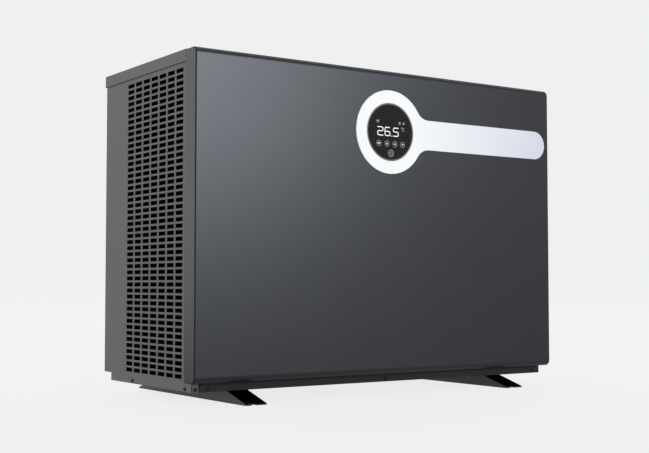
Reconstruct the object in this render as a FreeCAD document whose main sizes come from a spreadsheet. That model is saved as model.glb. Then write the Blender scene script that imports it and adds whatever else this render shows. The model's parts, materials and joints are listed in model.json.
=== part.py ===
import FreeCAD, Part
import math
import os
import re
import Sketcher

# A pool heat pump in a closed sheet-metal cabinet, in millimetres.
# The origin lies on the floor, midway between the four anchor holes of the feet.
# +X points to the right seen from the front, +Y to the back, +Z up.

Vector = FreeCAD.Vector
doc = FreeCAD.newDocument("PoolHeatPump")
sheet = doc.addObject("Spreadsheet::Sheet", "Dims")

# alias, value or formula, meaning
DIMENSIONS = [
    ("casing_width", 1009, "overall width of the front cover and the lid"),
    ("casing_depth", 451, "front cover face to the back of the side covers"),
    ("casing_height", 715, "underside of the base tray to the top of the lid"),
    ("foot_height", 30, "floor to the underside of the base tray"),
    ("foot_length", 509, "toe to toe"),
    ("foot_width", 52, "outside width of the channel"),
    ("foot_spacing", 733, "between the centre lines of the two feet"),
    ("toe_lead", 15, "how far the front toes stand ahead of the front cover"),
    ("foot_sheet", 2, "steel of the feet"),
    ("ramp_length", 95, "length of each sloping toe"),
    ("toe_height", 3, "height of the side walls at the toe"),
    ("notch_width", 14, "open slot in the toe"),
    ("notch_depth", 12, "depth of that slot from the toe"),
    ("anchor_radius", 6, "anchor holes in the feet"),
    ("anchor_spacing", 410, "front to rear anchor holes"),
    ("foot_bolt_radius", 3, "screws that hold the tray on the feet"),
    ("foot_bolt_spread", 36, "across one foot"),
    ("foot_bolt_spacing", 260, "along one foot"),
    ("foot_lip", 14, "inward lips along the top of the channel"),
    ("metal", 1.2, "sheet of the covers"),
    ("front_metal", 1.5, "sheet of the front cover"),
    ("front_return", 46, "depth of the front cover"),
    ("front_rise", 18, "front cover above the underside of the base tray"),
    ("front_drop", 1, "front cover below the top of the lid"),
    ("edge_round", 14, "rounded top and bottom edges of the front cover"),
    ("side_round", 3, "rounded vertical edges of the front cover"),
    ("side_inset", 2.8, "side covers inside the front cover's sides"),
    ("lid_flange", 26, "turned-down edge of the lid"),
    ("lid_gap", 0.5, "between the front cover and the lid"),
    ("lid_overhang", 4, "lid behind the side covers"),
    ("lid_round", 2, "folded edges of the lid"),
    ("pan_rim", 17.5, "height of the tray's rim"),
    ("pan_front", 20, "tray behind the front face"),
    ("pan_corner", 16, "square notch in the tray's front corners"),
    ("rear_corner", 30, "width of the notch in the tray's rear corners"),
    ("play", 0.3, "gap between neighbouring pieces"),
    ("rear_notch_width", 38, "lower rear notch of a side cover"),
    ("rear_notch_height", 18, "lower rear notch of a side cover"),
    ("side_flange", 15, "inward flanges of a side cover"),
    ("tab_width", 14, "folded tab at the foot of the left cover"),
    ("tab_gap", 2.2, "open corner beside the tab"),
    ("right_setback", 22, "lower front corner cut from the right cover"),
    ("slot_width", 32.3, "grille slot"),
    ("slot_height", 9, "grille slot"),
    ("slot_pitch_y", 39.9, "grille columns"),
    ("slot_pitch_z", 13.69, "grille rows"),
    ("slot_columns", 7, "grille columns"),
    ("slot_rows", 48, "grille rows"),
    ("slot_start_y", 60.4, "front face to the first column"),
    ("slot_start_z", 25.5, "underside of the tray to the first row"),
    ("screw_radius", 2, "sheet-metal screws"),
    ("screw_head", 3.8, "head radius"),
    ("screw_head_height", 1.8, "head height"),
    ("screw_length", 7, "under the head"),
    ("screw_play", 0.3, "clearance of the screw holes"),
    ("display_x", -2.5, "centre of the display"),
    ("display_z", 601, "centre of the display"),
    ("ring_radius", 96.3, "white ring, outside"),
    ("disc_radius", 66.8, "white ring, inside"),
    ("bar_height", 70, "white bar"),
    ("bar_end_x", 488.5, "right-hand tip of the white bar"),
    ("neck_round", 38, "concave fillets between the ring and the bar"),
    ("trim_thickness", 3, "white trim"),
    ("trim_round", 0.9, "edge of the white trim"),
    ("bezel_width", 3.2, "ring round the glass"),
    ("glass_recess", 0.8, "glass below the face of the trim"),
    ("glass_thickness", 2.5, "display glass"),
    ("housing_radius", 62, "display housing behind the cover"),
    ("housing_depth", 34, "display housing behind the cover"),
    ("housing_wall", 2.2, "display housing"),
    ("foam", 22, "thickness of the sound lining"),
    ("splitter_set_in", 24, "foam slabs behind the grille"),
    ("splitter_depth", 33, "foam slabs behind the grille"),
    ("partition_x", 135.5, "panel between the air side and the machine side"),
    ("fan_x", -182.5, "fan axis"),
    ("fan_z", 387, "fan axis"),
    ("fan_radius", 250, "tips of the blades"),
    ("tip_gap", 6, "blade tips to the shroud"),
    ("shroud_y", 94, "shroud plate"),
    ("shroud_depth", 74, "shroud ring"),
    ("shroud_wall", 3, "shroud ring"),
    ("hub_radius", 70, "fan hub"),
    ("hub_length", 62, "fan hub"),
    ("hub_y", 24, "front face of the hub"),
    ("hub_wall", 3.5, "fan hub"),
    ("blade_count", 5, "fan blades"),
    ("blade_thickness", 3.2, "fan blades"),
    ("shaft_radius", 6, "fan shaft"),
    ("shaft_front", 8, "front end of the shaft"),
    ("shaft_back", 131, "back end of the shaft"),
    ("shaft_play", 0.05, "running clearance of the shaft"),
    ("motor_radius", 60, "fan motor"),
    ("motor_y", 98, "front face of the motor"),
    ("motor_length", 40, "fan motor"),
    ("rail_width", 26, "motor bracket rails"),
    ("rail_depth", 15, "motor bracket rails"),
    ("rail_spacing", 92, "motor bracket rails"),
    ("coil_left", -478, "evaporator fins"),
    ("coil_right", 112, "evaporator fins"),
    ("coil_front", 162, "evaporator fins"),
    ("coil_depth", 44, "evaporator fins"),
    ("tube_count", 28, "tubes in each row of the evaporator"),
    ("tube_pitch", 25, "between evaporator tubes"),
    ("tube_rows_apart", 22, "between the two rows"),
    ("tube_radius", 4.76, "evaporator tubes"),
    ("tube_play", 0.05, "round the evaporator tubes"),
    ("coil_bottom", 34, "evaporator fins"),
    ("end_plate", 1.5, "evaporator end plates"),
    ("header_radius", 9.5, "evaporator gas header"),
    ("liquid_header_radius", 7, "evaporator liquid header"),
    ("gas_header_x", 158, "evaporator gas header"),
    ("liquid_header_x", 152, "evaporator liquid header"),
    ("compressor_x", 232, "compressor axis"),
    ("compressor_y", 80, "compressor axis"),
    ("compressor_radius", 65, "compressor shell"),
    ("compressor_bottom", 58, "compressor shell"),
    ("compressor_height", 300, "compressor shell"),
    ("compressor_dome", 30, "rounded ends of the compressor shell"),
    ("compressor_foot_radius", 88, "bolt circle of the compressor's feet"),
    ("grommet_radius", 13, "rubber mounts"),
    ("stud_radius", 4, "compressor studs"),
    ("accumulator_x", 330, "accumulator axis"),
    ("accumulator_y", 120, "accumulator axis"),
    ("accumulator_radius", 34, "accumulator"),
    ("accumulator_bottom", 110, "accumulator"),
    ("accumulator_height", 190, "accumulator"),
    ("valve_z", 455, "four-way valve"),
    ("valve_radius", 16, "four-way valve"),
    ("valve_length", 116, "four-way valve"),
    ("port_pitch", 30, "between the ports of the four-way valve"),
    ("port_height", 30, "ports above and below the valve's axis"),
    ("pipe_radius", 6.35, "half-inch refrigerant pipe"),
    ("suction_radius", 8, "suction pipe"),
    ("liquid_radius", 5, "liquid pipe"),
    ("pipe_bend", 16, "bend radius of the refrigerant pipes"),
    ("expansion_x", 190, "expansion valve"),
    ("expansion_y", -20, "expansion valve"),
    ("expansion_z", 225, "underside of the expansion valve"),
    ("exchanger_x", 395, "water heat exchanger axis"),
    ("exchanger_y", -75, "water heat exchanger axis"),
    ("exchanger_radius", 92, "water heat exchanger shell"),
    ("exchanger_wall", 5, "water heat exchanger shell"),
    ("exchanger_bottom", 36, "water heat exchanger shell"),
    ("exchanger_height", 434, "water heat exchanger shell"),
    ("exchanger_cap", 12, "flanged cap of the shell"),
    ("coil_radius", 62, "titanium coil"),
    ("coil_tube", 8, "titanium coil tube"),
    ("coil_pitch", 24, "titanium coil"),
    ("coil_length", 360, "titanium coil"),
    ("inlet_z", 120, "water inlet axis"),
    ("outlet_z", 320, "water outlet axis"),
    ("water_radius", 25, "water pipes, outside"),
    ("water_bore", 22, "water pipes, inside"),
    ("stub_end", 30, "end of the exchanger's water stubs"),
    ("union_start", 166.5, "inner end of the union bodies"),
    ("union_barrel", 29.5, "union body through the rear cover"),
    ("union_collar", 40, "union body collar"),
    ("collar_thickness", 4, "union body collar"),
    ("thread_radius", 35.5, "male thread of the union"),
    ("thread_end", 26, "end of the thread behind the rear cover"),
    ("seal_thickness", 2, "union gasket"),
    ("seal_radius", 30, "union gasket"),
    ("tail_flange", 34.5, "union tail flange"),
    ("tail_flange_thickness", 5, "union tail flange"),
    ("tail_barrel", 30.5, "union tail"),
    ("tail_end", 65, "end of the tail behind the rear cover"),
    ("socket_radius", 25.15, "solvent socket for a 50 mm pipe"),
    ("socket_length", 31, "solvent socket"),
    ("nut_bore", 35.9, "union nut over the thread"),
    ("nut_radius", 44, "union nut"),
    ("nut_start", 6, "union nut behind the rear cover"),
    ("nut_shoulder", 33.4, "shoulder of the nut behind the rear cover"),
    ("nut_end", 37.4, "end of the nut behind the rear cover"),
    ("nut_mouth", 31, "hole in the nut's shoulder"),
    ("rib_count", 12, "grip ribs of a union nut"),
    ("rib_radius", 3, "grip ribs of a union nut"),
    ("switch_y", 100, "flow switch on the inlet pipe"),
    ("boss_radius", 14, "flow switch boss"),
    ("boss_bore", 9.5, "flow switch boss"),
    ("pivot_rise", 50, "paddle pivot above the pipe's axis"),
    ("switch_size", 44, "flow switch body"),
    ("paddle_width", 20, "flow switch paddle"),
    ("box_left", 152, "electrical box"),
    ("box_front", -185, "electrical box"),
    ("box_bottom", 492, "electrical box"),
    ("box_width", 336, "electrical box"),
    ("box_depth", 118, "electrical box"),
    ("box_height", 236, "electrical box"),
    ("guard_depth", 4, "rear guard"),
    ("guard_columns", 8, "windows of the rear guard"),
    ("guard_rows", 32, "windows of the rear guard"),
    ("window_width", 71, "windows of the rear guard"),
    ("window_height", 17, "windows of the rear guard"),
    ("window_pitch_x", 76.5, "windows of the rear guard"),
    ("window_pitch_z", 21.5, "windows of the rear guard"),
    ("vent_width", 60, "vent slots of the rear cover"),
    ("vent_height", 5, "vent slots of the rear cover"),
    ("vent_pitch", 12, "vent slots of the rear cover"),
    ("vent_count", 8, "vent slots of the rear cover"),
    ("gland_x", 300, "cable gland"),
    ("gland_z", 640, "cable gland"),
    ("gland_radius", 12, "cable gland thread"),
    ("gland_bore", 6.5, "cable gland bore"),
    ("drain_x", -182.5, "condensate drain"),
    ("drain_y", 150, "condensate drain"),
    ("drain_radius", 9, "condensate drain spigot"),
    ("drain_rim", 5, "flanges of the drain above and below the tray"),
    ("drain_length", 16.4, "condensate drain spigot below its collar"),
    ("half_width", "=casing_width / 2", "half the casing"),
    ("front_y", "=toe_lead - foot_length / 2", "face of the front cover"),
    ("back_y", "=front_y + casing_depth", "back of the side covers"),
    ("top_z", "=foot_height + casing_height", "top of the lid"),
    ("front_height", "=casing_height - front_rise - front_drop", "height of the front cover"),
    ("floor_z", "=foot_height + foot_sheet", "inside floor of the tray, less its sheet"),
    ("wall_x", "=half_width - side_inset - metal", "inner face of the side covers"),
    ("wall_height", "=casing_height - 10 * play", "height of the side covers"),
    ("wall_lead", "=pan_front - metal - play", "side covers behind the front face"),
    ("wall_depth", "=casing_depth - wall_lead", "depth of the side covers"),
    ("pan_half", "=wall_x - play", "half the tray's width"),
    ("pan_depth", "=casing_depth - pan_front - metal - play", "depth of the tray"),
    ("inside_z", "=foot_height + metal + play", "just above the tray's floor"),
    ("inside_height", "=casing_height - 3 * metal - 3 * play", "tray floor to lid"),
    ("shroud_radius", "=fan_radius + tip_gap", "inside of the shroud ring"),
    ("stud_top", "=compressor_bottom + 10", "top of the compressor studs"),
]

for row, (alias, amount, meaning) in enumerate(DIMENSIONS, 1):
    sheet.set(f"A{row}", meaning)
    sheet.set(f"B{row}", str(amount))
    sheet.setAlias(f"B{row}", alias)
doc.recompute()

ALIASES = re.compile(r"\b(" + "|".join(alias for alias, _, _ in DIMENSIONS) + r")\b")
TURNS = {
    "z": FreeCAD.Rotation(),
    "x": FreeCAD.Rotation(Vector(0, 1, 0), 90),
    "y": FreeCAD.Rotation(Vector(1, 0, 0), -90),
}
ORIGIN = ("0", "0", "0")
subparts = []


def expression(text):
    """The text with each alias pointing at the sheet."""
    return ALIASES.sub(r"Dims.\1", str(text).lstrip("+"))


def value(text):
    """The number that an expression has now, for code that needs it."""
    known = {alias: float(sheet.get(alias)) for alias in set(ALIASES.findall(str(text)))}
    total = str(text).lstrip("+")
    for alias, number in known.items():
        total = re.sub(rf"\b{alias}\b", f"({number})", total)
    return float(FreeCAD.Units.Quantity(total).Value)


def bind(piece, **sizes):
    for name, text in sizes.items():
        piece.setExpression(name, expression(text))
    return piece


def put(piece, place, axis="z"):
    piece.Placement = FreeCAD.Placement(Vector(), TURNS[axis])
    for letter, text in zip("xyz", place):
        piece.setExpression("Placement.Base." + letter, expression(text))
    return piece


def box(name, size, place):
    piece = doc.addObject("Part::Box", name)
    bind(piece, Length=size[0], Width=size[1], Height=size[2])
    return put(piece, place)


def cylinder(name, radius, height, place, axis="z"):
    piece = doc.addObject("Part::Cylinder", name)
    bind(piece, Radius=radius, Height=height)
    return put(piece, place, axis)


def cut(name, base, *tools):
    piece = doc.addObject("Part::Cut", name)
    piece.Base = base
    piece.Tool = tools[0] if len(tools) == 1 else group(name + "_tools", tools)
    return piece


def fuse(name, *pieces):
    piece = doc.addObject("Part::MultiFuse", name)
    piece.Shapes = list(pieces)
    return piece


def group(name, pieces):
    """Separate solids that share one node."""
    piece = doc.addObject("Part::Compound", name)
    piece.Links = list(pieces)
    return piece


def ring(name, outer, inner, height, place, axis="z"):
    tube = cylinder(name + "_outside", outer, height, place, axis)
    hole = cylinder(name + "_inside", inner, height, place, axis)
    return cut(name, tube, hole)


def subpart(piece, label):
    """Marks a finished piece: its label names its file."""
    piece.Label = label
    subparts.append(piece)
    return piece


# ---- PartDesign helpers ----------------------------------------------------


def new_body(name, place=ORIGIN, axis="z"):
    return put(doc.addObject("PartDesign::Body", name), place, axis)


def sketch(body, plane, name):
    """A sketch on one of the body's own origin planes."""
    drawing = body.newObject("Sketcher::SketchObject", name)
    support = [f for f in body.Origin.OriginFeatures if f.Role == plane + "_Plane"]
    drawing.AttachmentSupport = [(support[0], "")]
    drawing.MapMode = "FlatFace"
    return drawing


def fix_point(drawing, edge, end, point):
    """Ties one end of a sketch edge to the sketch's origin by two dimensions."""
    for kind, text in zip(("DistanceX", "DistanceY"), point):
        index = drawing.addConstraint(Sketcher.Constraint(kind, -1, 1, edge, end, value(text)))
        drawing.setExpression(f"Constraints[{index}]", expression(text))


def draw_outline(drawing, points):
    """A closed outline of straight edges through the points, each an expression pair."""
    first = drawing.GeometryCount
    corners = [Vector(value(x), value(y), 0) for x, y in points]
    count = len(points)
    for i in range(count):
        drawing.addGeometry(Part.LineSegment(corners[i], corners[(i + 1) % count]))
    for i in range(count):
        after = first + (i + 1) % count
        drawing.addConstraint(Sketcher.Constraint("Coincident", first + i, 2, after, 1))
        fix_point(drawing, first + i, 1, points[i])
    return drawing


def draw_rectangle(drawing, corner, size):
    x, y = corner
    right = f"({x}) + ({size[0]})"
    top = f"({y}) + ({size[1]})"
    return draw_outline(drawing, [(x, y), (right, y), (right, top), (x, top)])


def draw_circle(drawing, centre, radius):
    at = Vector(value(centre[0]), value(centre[1]), 0)
    edge = drawing.addGeometry(Part.Circle(at, Vector(0, 0, 1), value(radius)))
    index = drawing.addConstraint(Sketcher.Constraint("Radius", edge, value(radius)))
    drawing.setExpression(f"Constraints[{index}]", expression(radius))
    fix_point(drawing, edge, 3, centre)
    return drawing


def pad(body, drawing, length, backwards=False):
    feature = body.newObject("PartDesign::Pad", drawing.Name + "_pad")
    feature.Profile = drawing
    feature.Reversed = backwards
    return bind(feature, Length=length)


def pocket(body, drawing, length, backwards=False):
    """Cuts the outline out of the solid and checks that something was removed."""
    doc.recompute()
    before = body.Shape.Volume
    feature = body.newObject("PartDesign::Pocket", drawing.Name + "_pocket")
    feature.Profile = drawing
    feature.Reversed = backwards
    bind(feature, Length=length)
    doc.recompute()
    if body.Shape.Volume > before - 1e-6:
        raise RuntimeError(f"{feature.Name} removes nothing")
    return feature


def edges_where(feature, test):
    return [f"Edge{i}" for i, edge in enumerate(feature.Shape.Edges, 1) if test(edge)]


def faces_where(feature, test):
    return [f"Face{i}" for i, face in enumerate(feature.Shape.Faces, 1) if test(face)]


def fillet(body, name, test, radius):
    doc.recompute()
    base = body.Tip
    feature = body.newObject("PartDesign::Fillet", name)
    feature.Base = (base, edges_where(base, test))
    return bind(feature, Radius=radius)


def runs_along(edge, axis):
    """Whether an edge is straight and parallel to a unit axis."""
    if edge.Curve.TypeId != "Part::GeomLine":
        return False
    return abs(abs(edge.Curve.Direction.dot(axis)) - 1) < 1e-6


def pattern(body, name, feature, direction, length, count, second=None):
    """Repeats a feature along one or two directions of a sketch."""
    rows = body.newObject("PartDesign::LinearPattern", name)
    rows.Originals = [feature]
    rows.Direction = direction
    bind(rows, Length=length, Occurrences=count)
    if second:
        rows.Direction2 = second[0]
        bind(rows, Length2=second[1], Occurrences2=second[2])
    body.Tip = rows
    doc.recompute()
    return rows


# ---- Screws ----------------------------------------------------------------


def screws(name, places, direction):
    """Screws and the drills for their holes. The places are the undersides of the heads."""
    made = []
    drills = []
    axis = direction.strip("-")
    outwards = -1 if direction.startswith("-") else 1
    for number, place in enumerate(places):
        head_place = list(place)
        shank_place = list(place)
        letter = "xyz".index(axis)
        if outwards < 0:
            head_place[letter] = f"({place[letter]}) - screw_head_height"
        else:
            shank_place[letter] = f"({place[letter]}) - screw_length"
        head = cylinder(f"{name}_head{number}", "screw_head", "screw_head_height", head_place, axis)
        shank = cylinder(f"{name}_shank{number}", "screw_radius", "screw_length", shank_place, axis)
        drill_place = list(place)
        drill_place[letter] = f"({place[letter]}) - screw_length"
        drill = cylinder(
            f"{name}_drill{number}",
            "screw_radius + screw_play",
            "2 * screw_length",
            drill_place,
            axis,
        )
        made.append(fuse(f"{name}_screw{number}", head, shank))
        drills.append(drill)
    return group(name, made), group(name + "_drills", drills)


RAIL_Y = "front_y + pan_front"
SCREW_Z = "foot_height + pan_rim / 2 - 3"
rail_screws, rail_drills = screws(
    "front_rail_screws",
    [
        ("-half_width + side_inset + tab_gap + tab_width / 2", f"{RAIL_Y} - play - metal", SCREW_Z),
        ("-461", RAIL_Y, SCREW_Z),
        ("0", RAIL_Y, SCREW_Z),
        ("461", RAIL_Y, SCREW_Z),
    ],
    "-y",
)
left_screws, left_drills = screws(
    "left_screws",
    [("-half_width + side_inset", y, SCREW_Z) for y in ("front_y + 46", "front_y + 298")],
    "-x",
)
right_screws, right_drills = screws(
    "right_screws",
    [("half_width - side_inset", y, SCREW_Z) for y in ("front_y + 60", "front_y + 298")],
    "x",
)
REAR_XS = ("partition_x + 14", "partition_x + 175", "wall_x - side_flange - 32")
rear_screws, rear_drills = screws(
    "rear_screws",
    [(x, "back_y", z) for x in REAR_XS for z in ("foot_height + 12", "top_z - 60")],
    "y",
)


# ---- Feet, tray and covers --------------------------------------------------


def make_foot(label, side):
    """A steel channel with its open side up, lips turned in, and ramped toes."""
    body = new_body(
        label + "_body",
        (f"{side} * foot_spacing / 2 - foot_width / 2", "-foot_length / 2", "0"),
    )
    profile = sketch(body, "YZ", label + "_profile")
    draw_outline(
        profile,
        [
            ("0", "0"),
            ("foot_length", "0"),
            ("foot_length", "toe_height"),
            ("foot_length - ramp_length", "foot_height"),
            ("ramp_length", "foot_height"),
            ("0", "toe_height"),
        ],
    )
    pad(body, profile, "foot_width")
    inside = sketch(body, "XZ", label + "_inside")
    draw_outline(
        inside,
        [
            ("foot_sheet", "foot_sheet"),
            ("foot_width - foot_sheet", "foot_sheet"),
            ("foot_width - foot_sheet", "foot_height - foot_sheet"),
            ("foot_width - foot_lip", "foot_height - foot_sheet"),
            ("foot_width - foot_lip", "foot_height + foot_sheet"),
            ("foot_lip", "foot_height + foot_sheet"),
            ("foot_lip", "foot_height - foot_sheet"),
            ("foot_sheet", "foot_height - foot_sheet"),
        ],
    )
    pocket(body, inside, "foot_length")
    for end, start in (("front", "0"), ("rear", "foot_length - notch_depth")):
        toe = sketch(body, "XY", f"{label}_{end}_toe")
        draw_rectangle(
            toe,
            ("foot_width / 2 - notch_width / 2 - 4", start),
            ("notch_width", "notch_depth"),
        )
        pocket(body, toe, "foot_height", backwards=True)
    anchors = sketch(body, "XY", label + "_anchors")
    for sign in ("-", "+"):
        draw_circle(
            anchors,
            ("foot_width / 2", f"foot_length / 2 {sign} anchor_spacing / 2"),
            "anchor_radius",
        )
    pocket(body, anchors, "foot_height / 2", backwards=True)
    bolts = sketch(body, "XY", label + "_bolt_holes")
    for across in ("-", "+"):
        for along in ("-", "+"):
            draw_circle(
                bolts,
                (
                    f"foot_width / 2 {across} foot_bolt_spread / 2",
                    f"foot_length / 2 {along} foot_bolt_spacing / 2",
                ),
                "foot_bolt_radius + screw_play",
            )
    pocket(body, bolts, "foot_height * 2", backwards=True)
    return subpart(body, label)


def make_base_pan():
    """The tray: a rim all round, a notch at each corner, holes for bolts and drain."""
    body = new_body("pan_body", ("0", "front_y + pan_front", "foot_height"))
    outline = sketch(body, "XY", "pan_outline")
    draw_outline(
        outline,
        [
            ("-pan_half + pan_corner", "0"),
            ("pan_half - pan_corner", "0"),
            ("pan_half - pan_corner", "pan_corner"),
            ("pan_half", "pan_corner"),
            ("pan_half", "pan_depth - rear_notch_width"),
            ("pan_half - rear_corner", "pan_depth - rear_notch_width"),
            ("pan_half - rear_corner", "pan_depth"),
            ("-pan_half + rear_corner", "pan_depth"),
            ("-pan_half + rear_corner", "pan_depth - rear_notch_width"),
            ("-pan_half", "pan_depth - rear_notch_width"),
            ("-pan_half", "pan_corner"),
            ("-pan_half + pan_corner", "pan_corner"),
        ],
    )
    pad(body, outline, "pan_rim")
    hollow = sketch(body, "XY", "pan_hollow")
    draw_outline(
        hollow,
        [
            ("-pan_half + pan_corner + metal", "metal"),
            ("pan_half - pan_corner - metal", "metal"),
            ("pan_half - pan_corner - metal", "pan_corner + metal"),
            ("pan_half - metal", "pan_corner + metal"),
            ("pan_half - metal", "pan_depth - metal"),
            ("-pan_half + metal", "pan_depth - metal"),
            ("-pan_half + metal", "pan_corner + metal"),
            ("-pan_half + pan_corner + metal", "pan_corner + metal"),
        ],
    )
    bind(hollow, **{"AttachmentOffset.Base.z": "metal"})
    pocket(body, hollow, "pan_rim", backwards=True)
    holes = sketch(body, "XY", "pan_holes")
    for foot in ("-", "+"):
        for across in ("-", "+"):
            for along in ("-", "+"):
                draw_circle(
                    holes,
                    (
                        f"{foot}foot_spacing / 2 {across} foot_bolt_spread / 2",
                        f"{along}foot_bolt_spacing / 2 - front_y - pan_front",
                    ),
                    "foot_bolt_radius + screw_play",
                )
    draw_circle(
        holes,
        ("drain_x", "drain_y - front_y - pan_front"),
        "drain_radius + play",
    )
    pocket(body, holes, "pan_rim / 2", backwards=True)
    drills = (rail_drills, left_drills, right_drills, rear_drills)
    return subpart(cut("pan_drilled", body, *drills), "base_pan")


def make_foot_bolts():
    """Eight hexagon-headed screws through the tray into the lips of the feet."""
    made = []
    for foot in ("-", "+"):
        for across in ("-", "+"):
            for along in ("-", "+"):
                number = len(made)
                place = [
                    f"{foot}foot_spacing / 2 {across} foot_bolt_spread / 2",
                    f"{along}foot_bolt_spacing / 2",
                    "foot_height + metal",
                ]
                head = doc.addObject("Part::Prism", f"foot_bolt_head{number}")
                head.Polygon = 6
                bind(head, Circumradius="foot_bolt_radius * 1.9", Height="foot_bolt_radius * 1.2")
                put(head, place)
                place[2] = "foot_height - 8"
                shank = cylinder(f"foot_bolt_shank{number}", "foot_bolt_radius", "8 + metal", place)
                made.append(fuse(f"foot_bolt{number}", head, shank))
    return subpart(group("bolt_group", made), "foot_bolts")


def make_front_panel():
    """A folded tray: one skin with rounded top and bottom edges and four returns."""
    body = new_body("front_body", ("-half_width", "front_y", "foot_height + front_rise"))
    outline = sketch(body, "YZ", "front_outline")
    draw_rectangle(outline, ("0", "0"), ("front_return", "front_height"))
    pad(body, outline, "casing_width")
    x_axis = Vector(1, 0, 0)
    fillet(
        body,
        "front_long_edges",
        lambda e: runs_along(e, x_axis) and abs(e.CenterOfMass.y) < 1e-6,
        "edge_round",
    )
    doc.recompute()
    ends = (0.0, value("casing_width"))
    forward = value("edge_round") + 1e-3
    fillet(
        body,
        "front_side_edges",
        lambda e: e.BoundBox.XLength < 1e-6
        and min(abs(e.CenterOfMass.x - x) for x in ends) < 1e-6
        and e.BoundBox.YMax < forward
        and e.BoundBox.ZLength > 1,
        "side_round",
    )
    doc.recompute()
    back = value("front_return")
    base = body.Tip
    shell = body.newObject("PartDesign::Thickness", "front_shell")
    shell.Base = (base, faces_where(base, lambda f: f.BoundBox.YMin > back - 1e-6))
    shell.Reversed = True
    shell.Join = 0
    bind(shell, Value="front_metal")
    doc.recompute()
    hole = sketch(body, "XZ", "front_display_hole")
    draw_circle(
        hole,
        ("half_width + display_x", "display_z - foot_height - front_rise"),
        "housing_radius + play",
    )
    pocket(body, hole, "front_return / 2")
    return subpart(body, "front_panel")


def draw_side_outline(drawing, setback):
    """A side cover: notched at the lower rear, and slit where the front cover's lower return passes."""
    points = [
        (setback, "0"),
        ("wall_depth - rear_notch_width", "0"),
        ("wall_depth - rear_notch_width", "rear_notch_height"),
        ("wall_depth", "rear_notch_height"),
        ("wall_depth", "wall_height"),
        ("front_return - wall_lead - 10", "wall_height"),
        ("front_return - wall_lead - 10", "front_rise + front_metal + play"),
        ("front_return - wall_lead + play", "front_rise + front_metal + play"),
        ("front_return - wall_lead + play", "front_rise - play"),
        (setback, "front_rise - play"),
    ]
    return draw_outline(drawing, points)


def make_left_panel():
    """The grille side: skin, top and rear flanges, a folded tab at the lower front corner."""
    body = new_body(
        "left_body", ("-half_width + side_inset", "front_y + wall_lead", "foot_height")
    )
    skin = sketch(body, "YZ", "left_skin")
    draw_side_outline(skin, "0")
    pad(body, skin, "metal")
    add_flanges(body, "left", "0", "0")
    tab = body.newObject("PartDesign::AdditiveBox", "left_tab")
    bind(tab, Length="tab_width + tab_gap", Width="metal", Height="front_rise - play")
    relief = body.newObject("PartDesign::SubtractiveBox", "left_tab_relief")
    bind(relief, Length="tab_gap - 0.4", Width="metal * 4", Height="front_rise - 3")
    put(relief, ("metal - 0.6", "-metal", "-1"))
    doc.recompute()
    slot = sketch(body, "YZ", "left_slot")
    draw_rectangle(
        slot,
        ("slot_start_y - wall_lead", "slot_start_z"),
        ("slot_width", "slot_height"),
    )
    opening = pocket(body, slot, "metal", backwards=True)
    pattern(
        body,
        "left_grille",
        opening,
        (slot, ["H_Axis"]),
        "slot_pitch_y * (slot_columns - 1)",
        "slot_columns",
        ((slot, ["V_Axis"]), "slot_pitch_z * (slot_rows - 1)", "slot_rows"),
    )
    return subpart(cut("left_drilled", body, left_drills, rail_drills), "left_side_panel")


def add_flanges(body, side, inner, flange_x):
    """Flanges turned in along the top and the back edge of a side cover."""
    top = body.newObject("PartDesign::AdditiveBox", side + "_top_flange")
    bind(top, Length="side_flange", Width="wall_depth - 40", Height="metal")
    put(top, (flange_x, "40", "wall_height - metal"))
    back = body.newObject("PartDesign::AdditiveBox", side + "_rear_flange")
    bind(back, Length="side_flange", Width="metal", Height="wall_height - rear_notch_height")
    put(back, (flange_x, "wall_depth - metal", "rear_notch_height"))
    doc.recompute()


def make_right_panel():
    """The plain side cover."""
    body = new_body(
        "right_body",
        ("half_width - side_inset - metal", "front_y + wall_lead", "foot_height"),
    )
    skin = sketch(body, "YZ", "right_skin")
    draw_side_outline(skin, "right_setback")
    pad(body, skin, "metal")
    add_flanges(body, "right", "metal", "metal - side_flange")
    return subpart(cut("right_drilled", body, right_drills), "right_side_panel")


def make_top_cover():
    """The lid: a shallow tray turned upside down."""
    body = new_body(
        "lid_body", ("-half_width", "front_y + front_return + lid_gap", "top_z - lid_flange")
    )
    block = body.newObject("PartDesign::AdditiveBox", "lid_block")
    bind(
        block,
        Length="casing_width",
        Width="casing_depth + lid_overhang - front_return - lid_gap",
        Height="lid_flange",
    )
    fillet(body, "lid_edges", lambda e: e.BoundBox.ZMax > 1 and e.BoundBox.YMax > 1, "lid_round")
    doc.recompute()
    base = body.Tip
    shell = body.newObject("PartDesign::Thickness", "lid_shell")
    shell.Base = (
        base, faces_where(base, lambda f: f.BoundBox.ZMax < 1e-6 or f.BoundBox.YMax < 1e-6)
    )
    shell.Reversed = True
    bind(shell, Value="metal")
    doc.recompute()
    return subpart(body, "top_cover")


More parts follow.
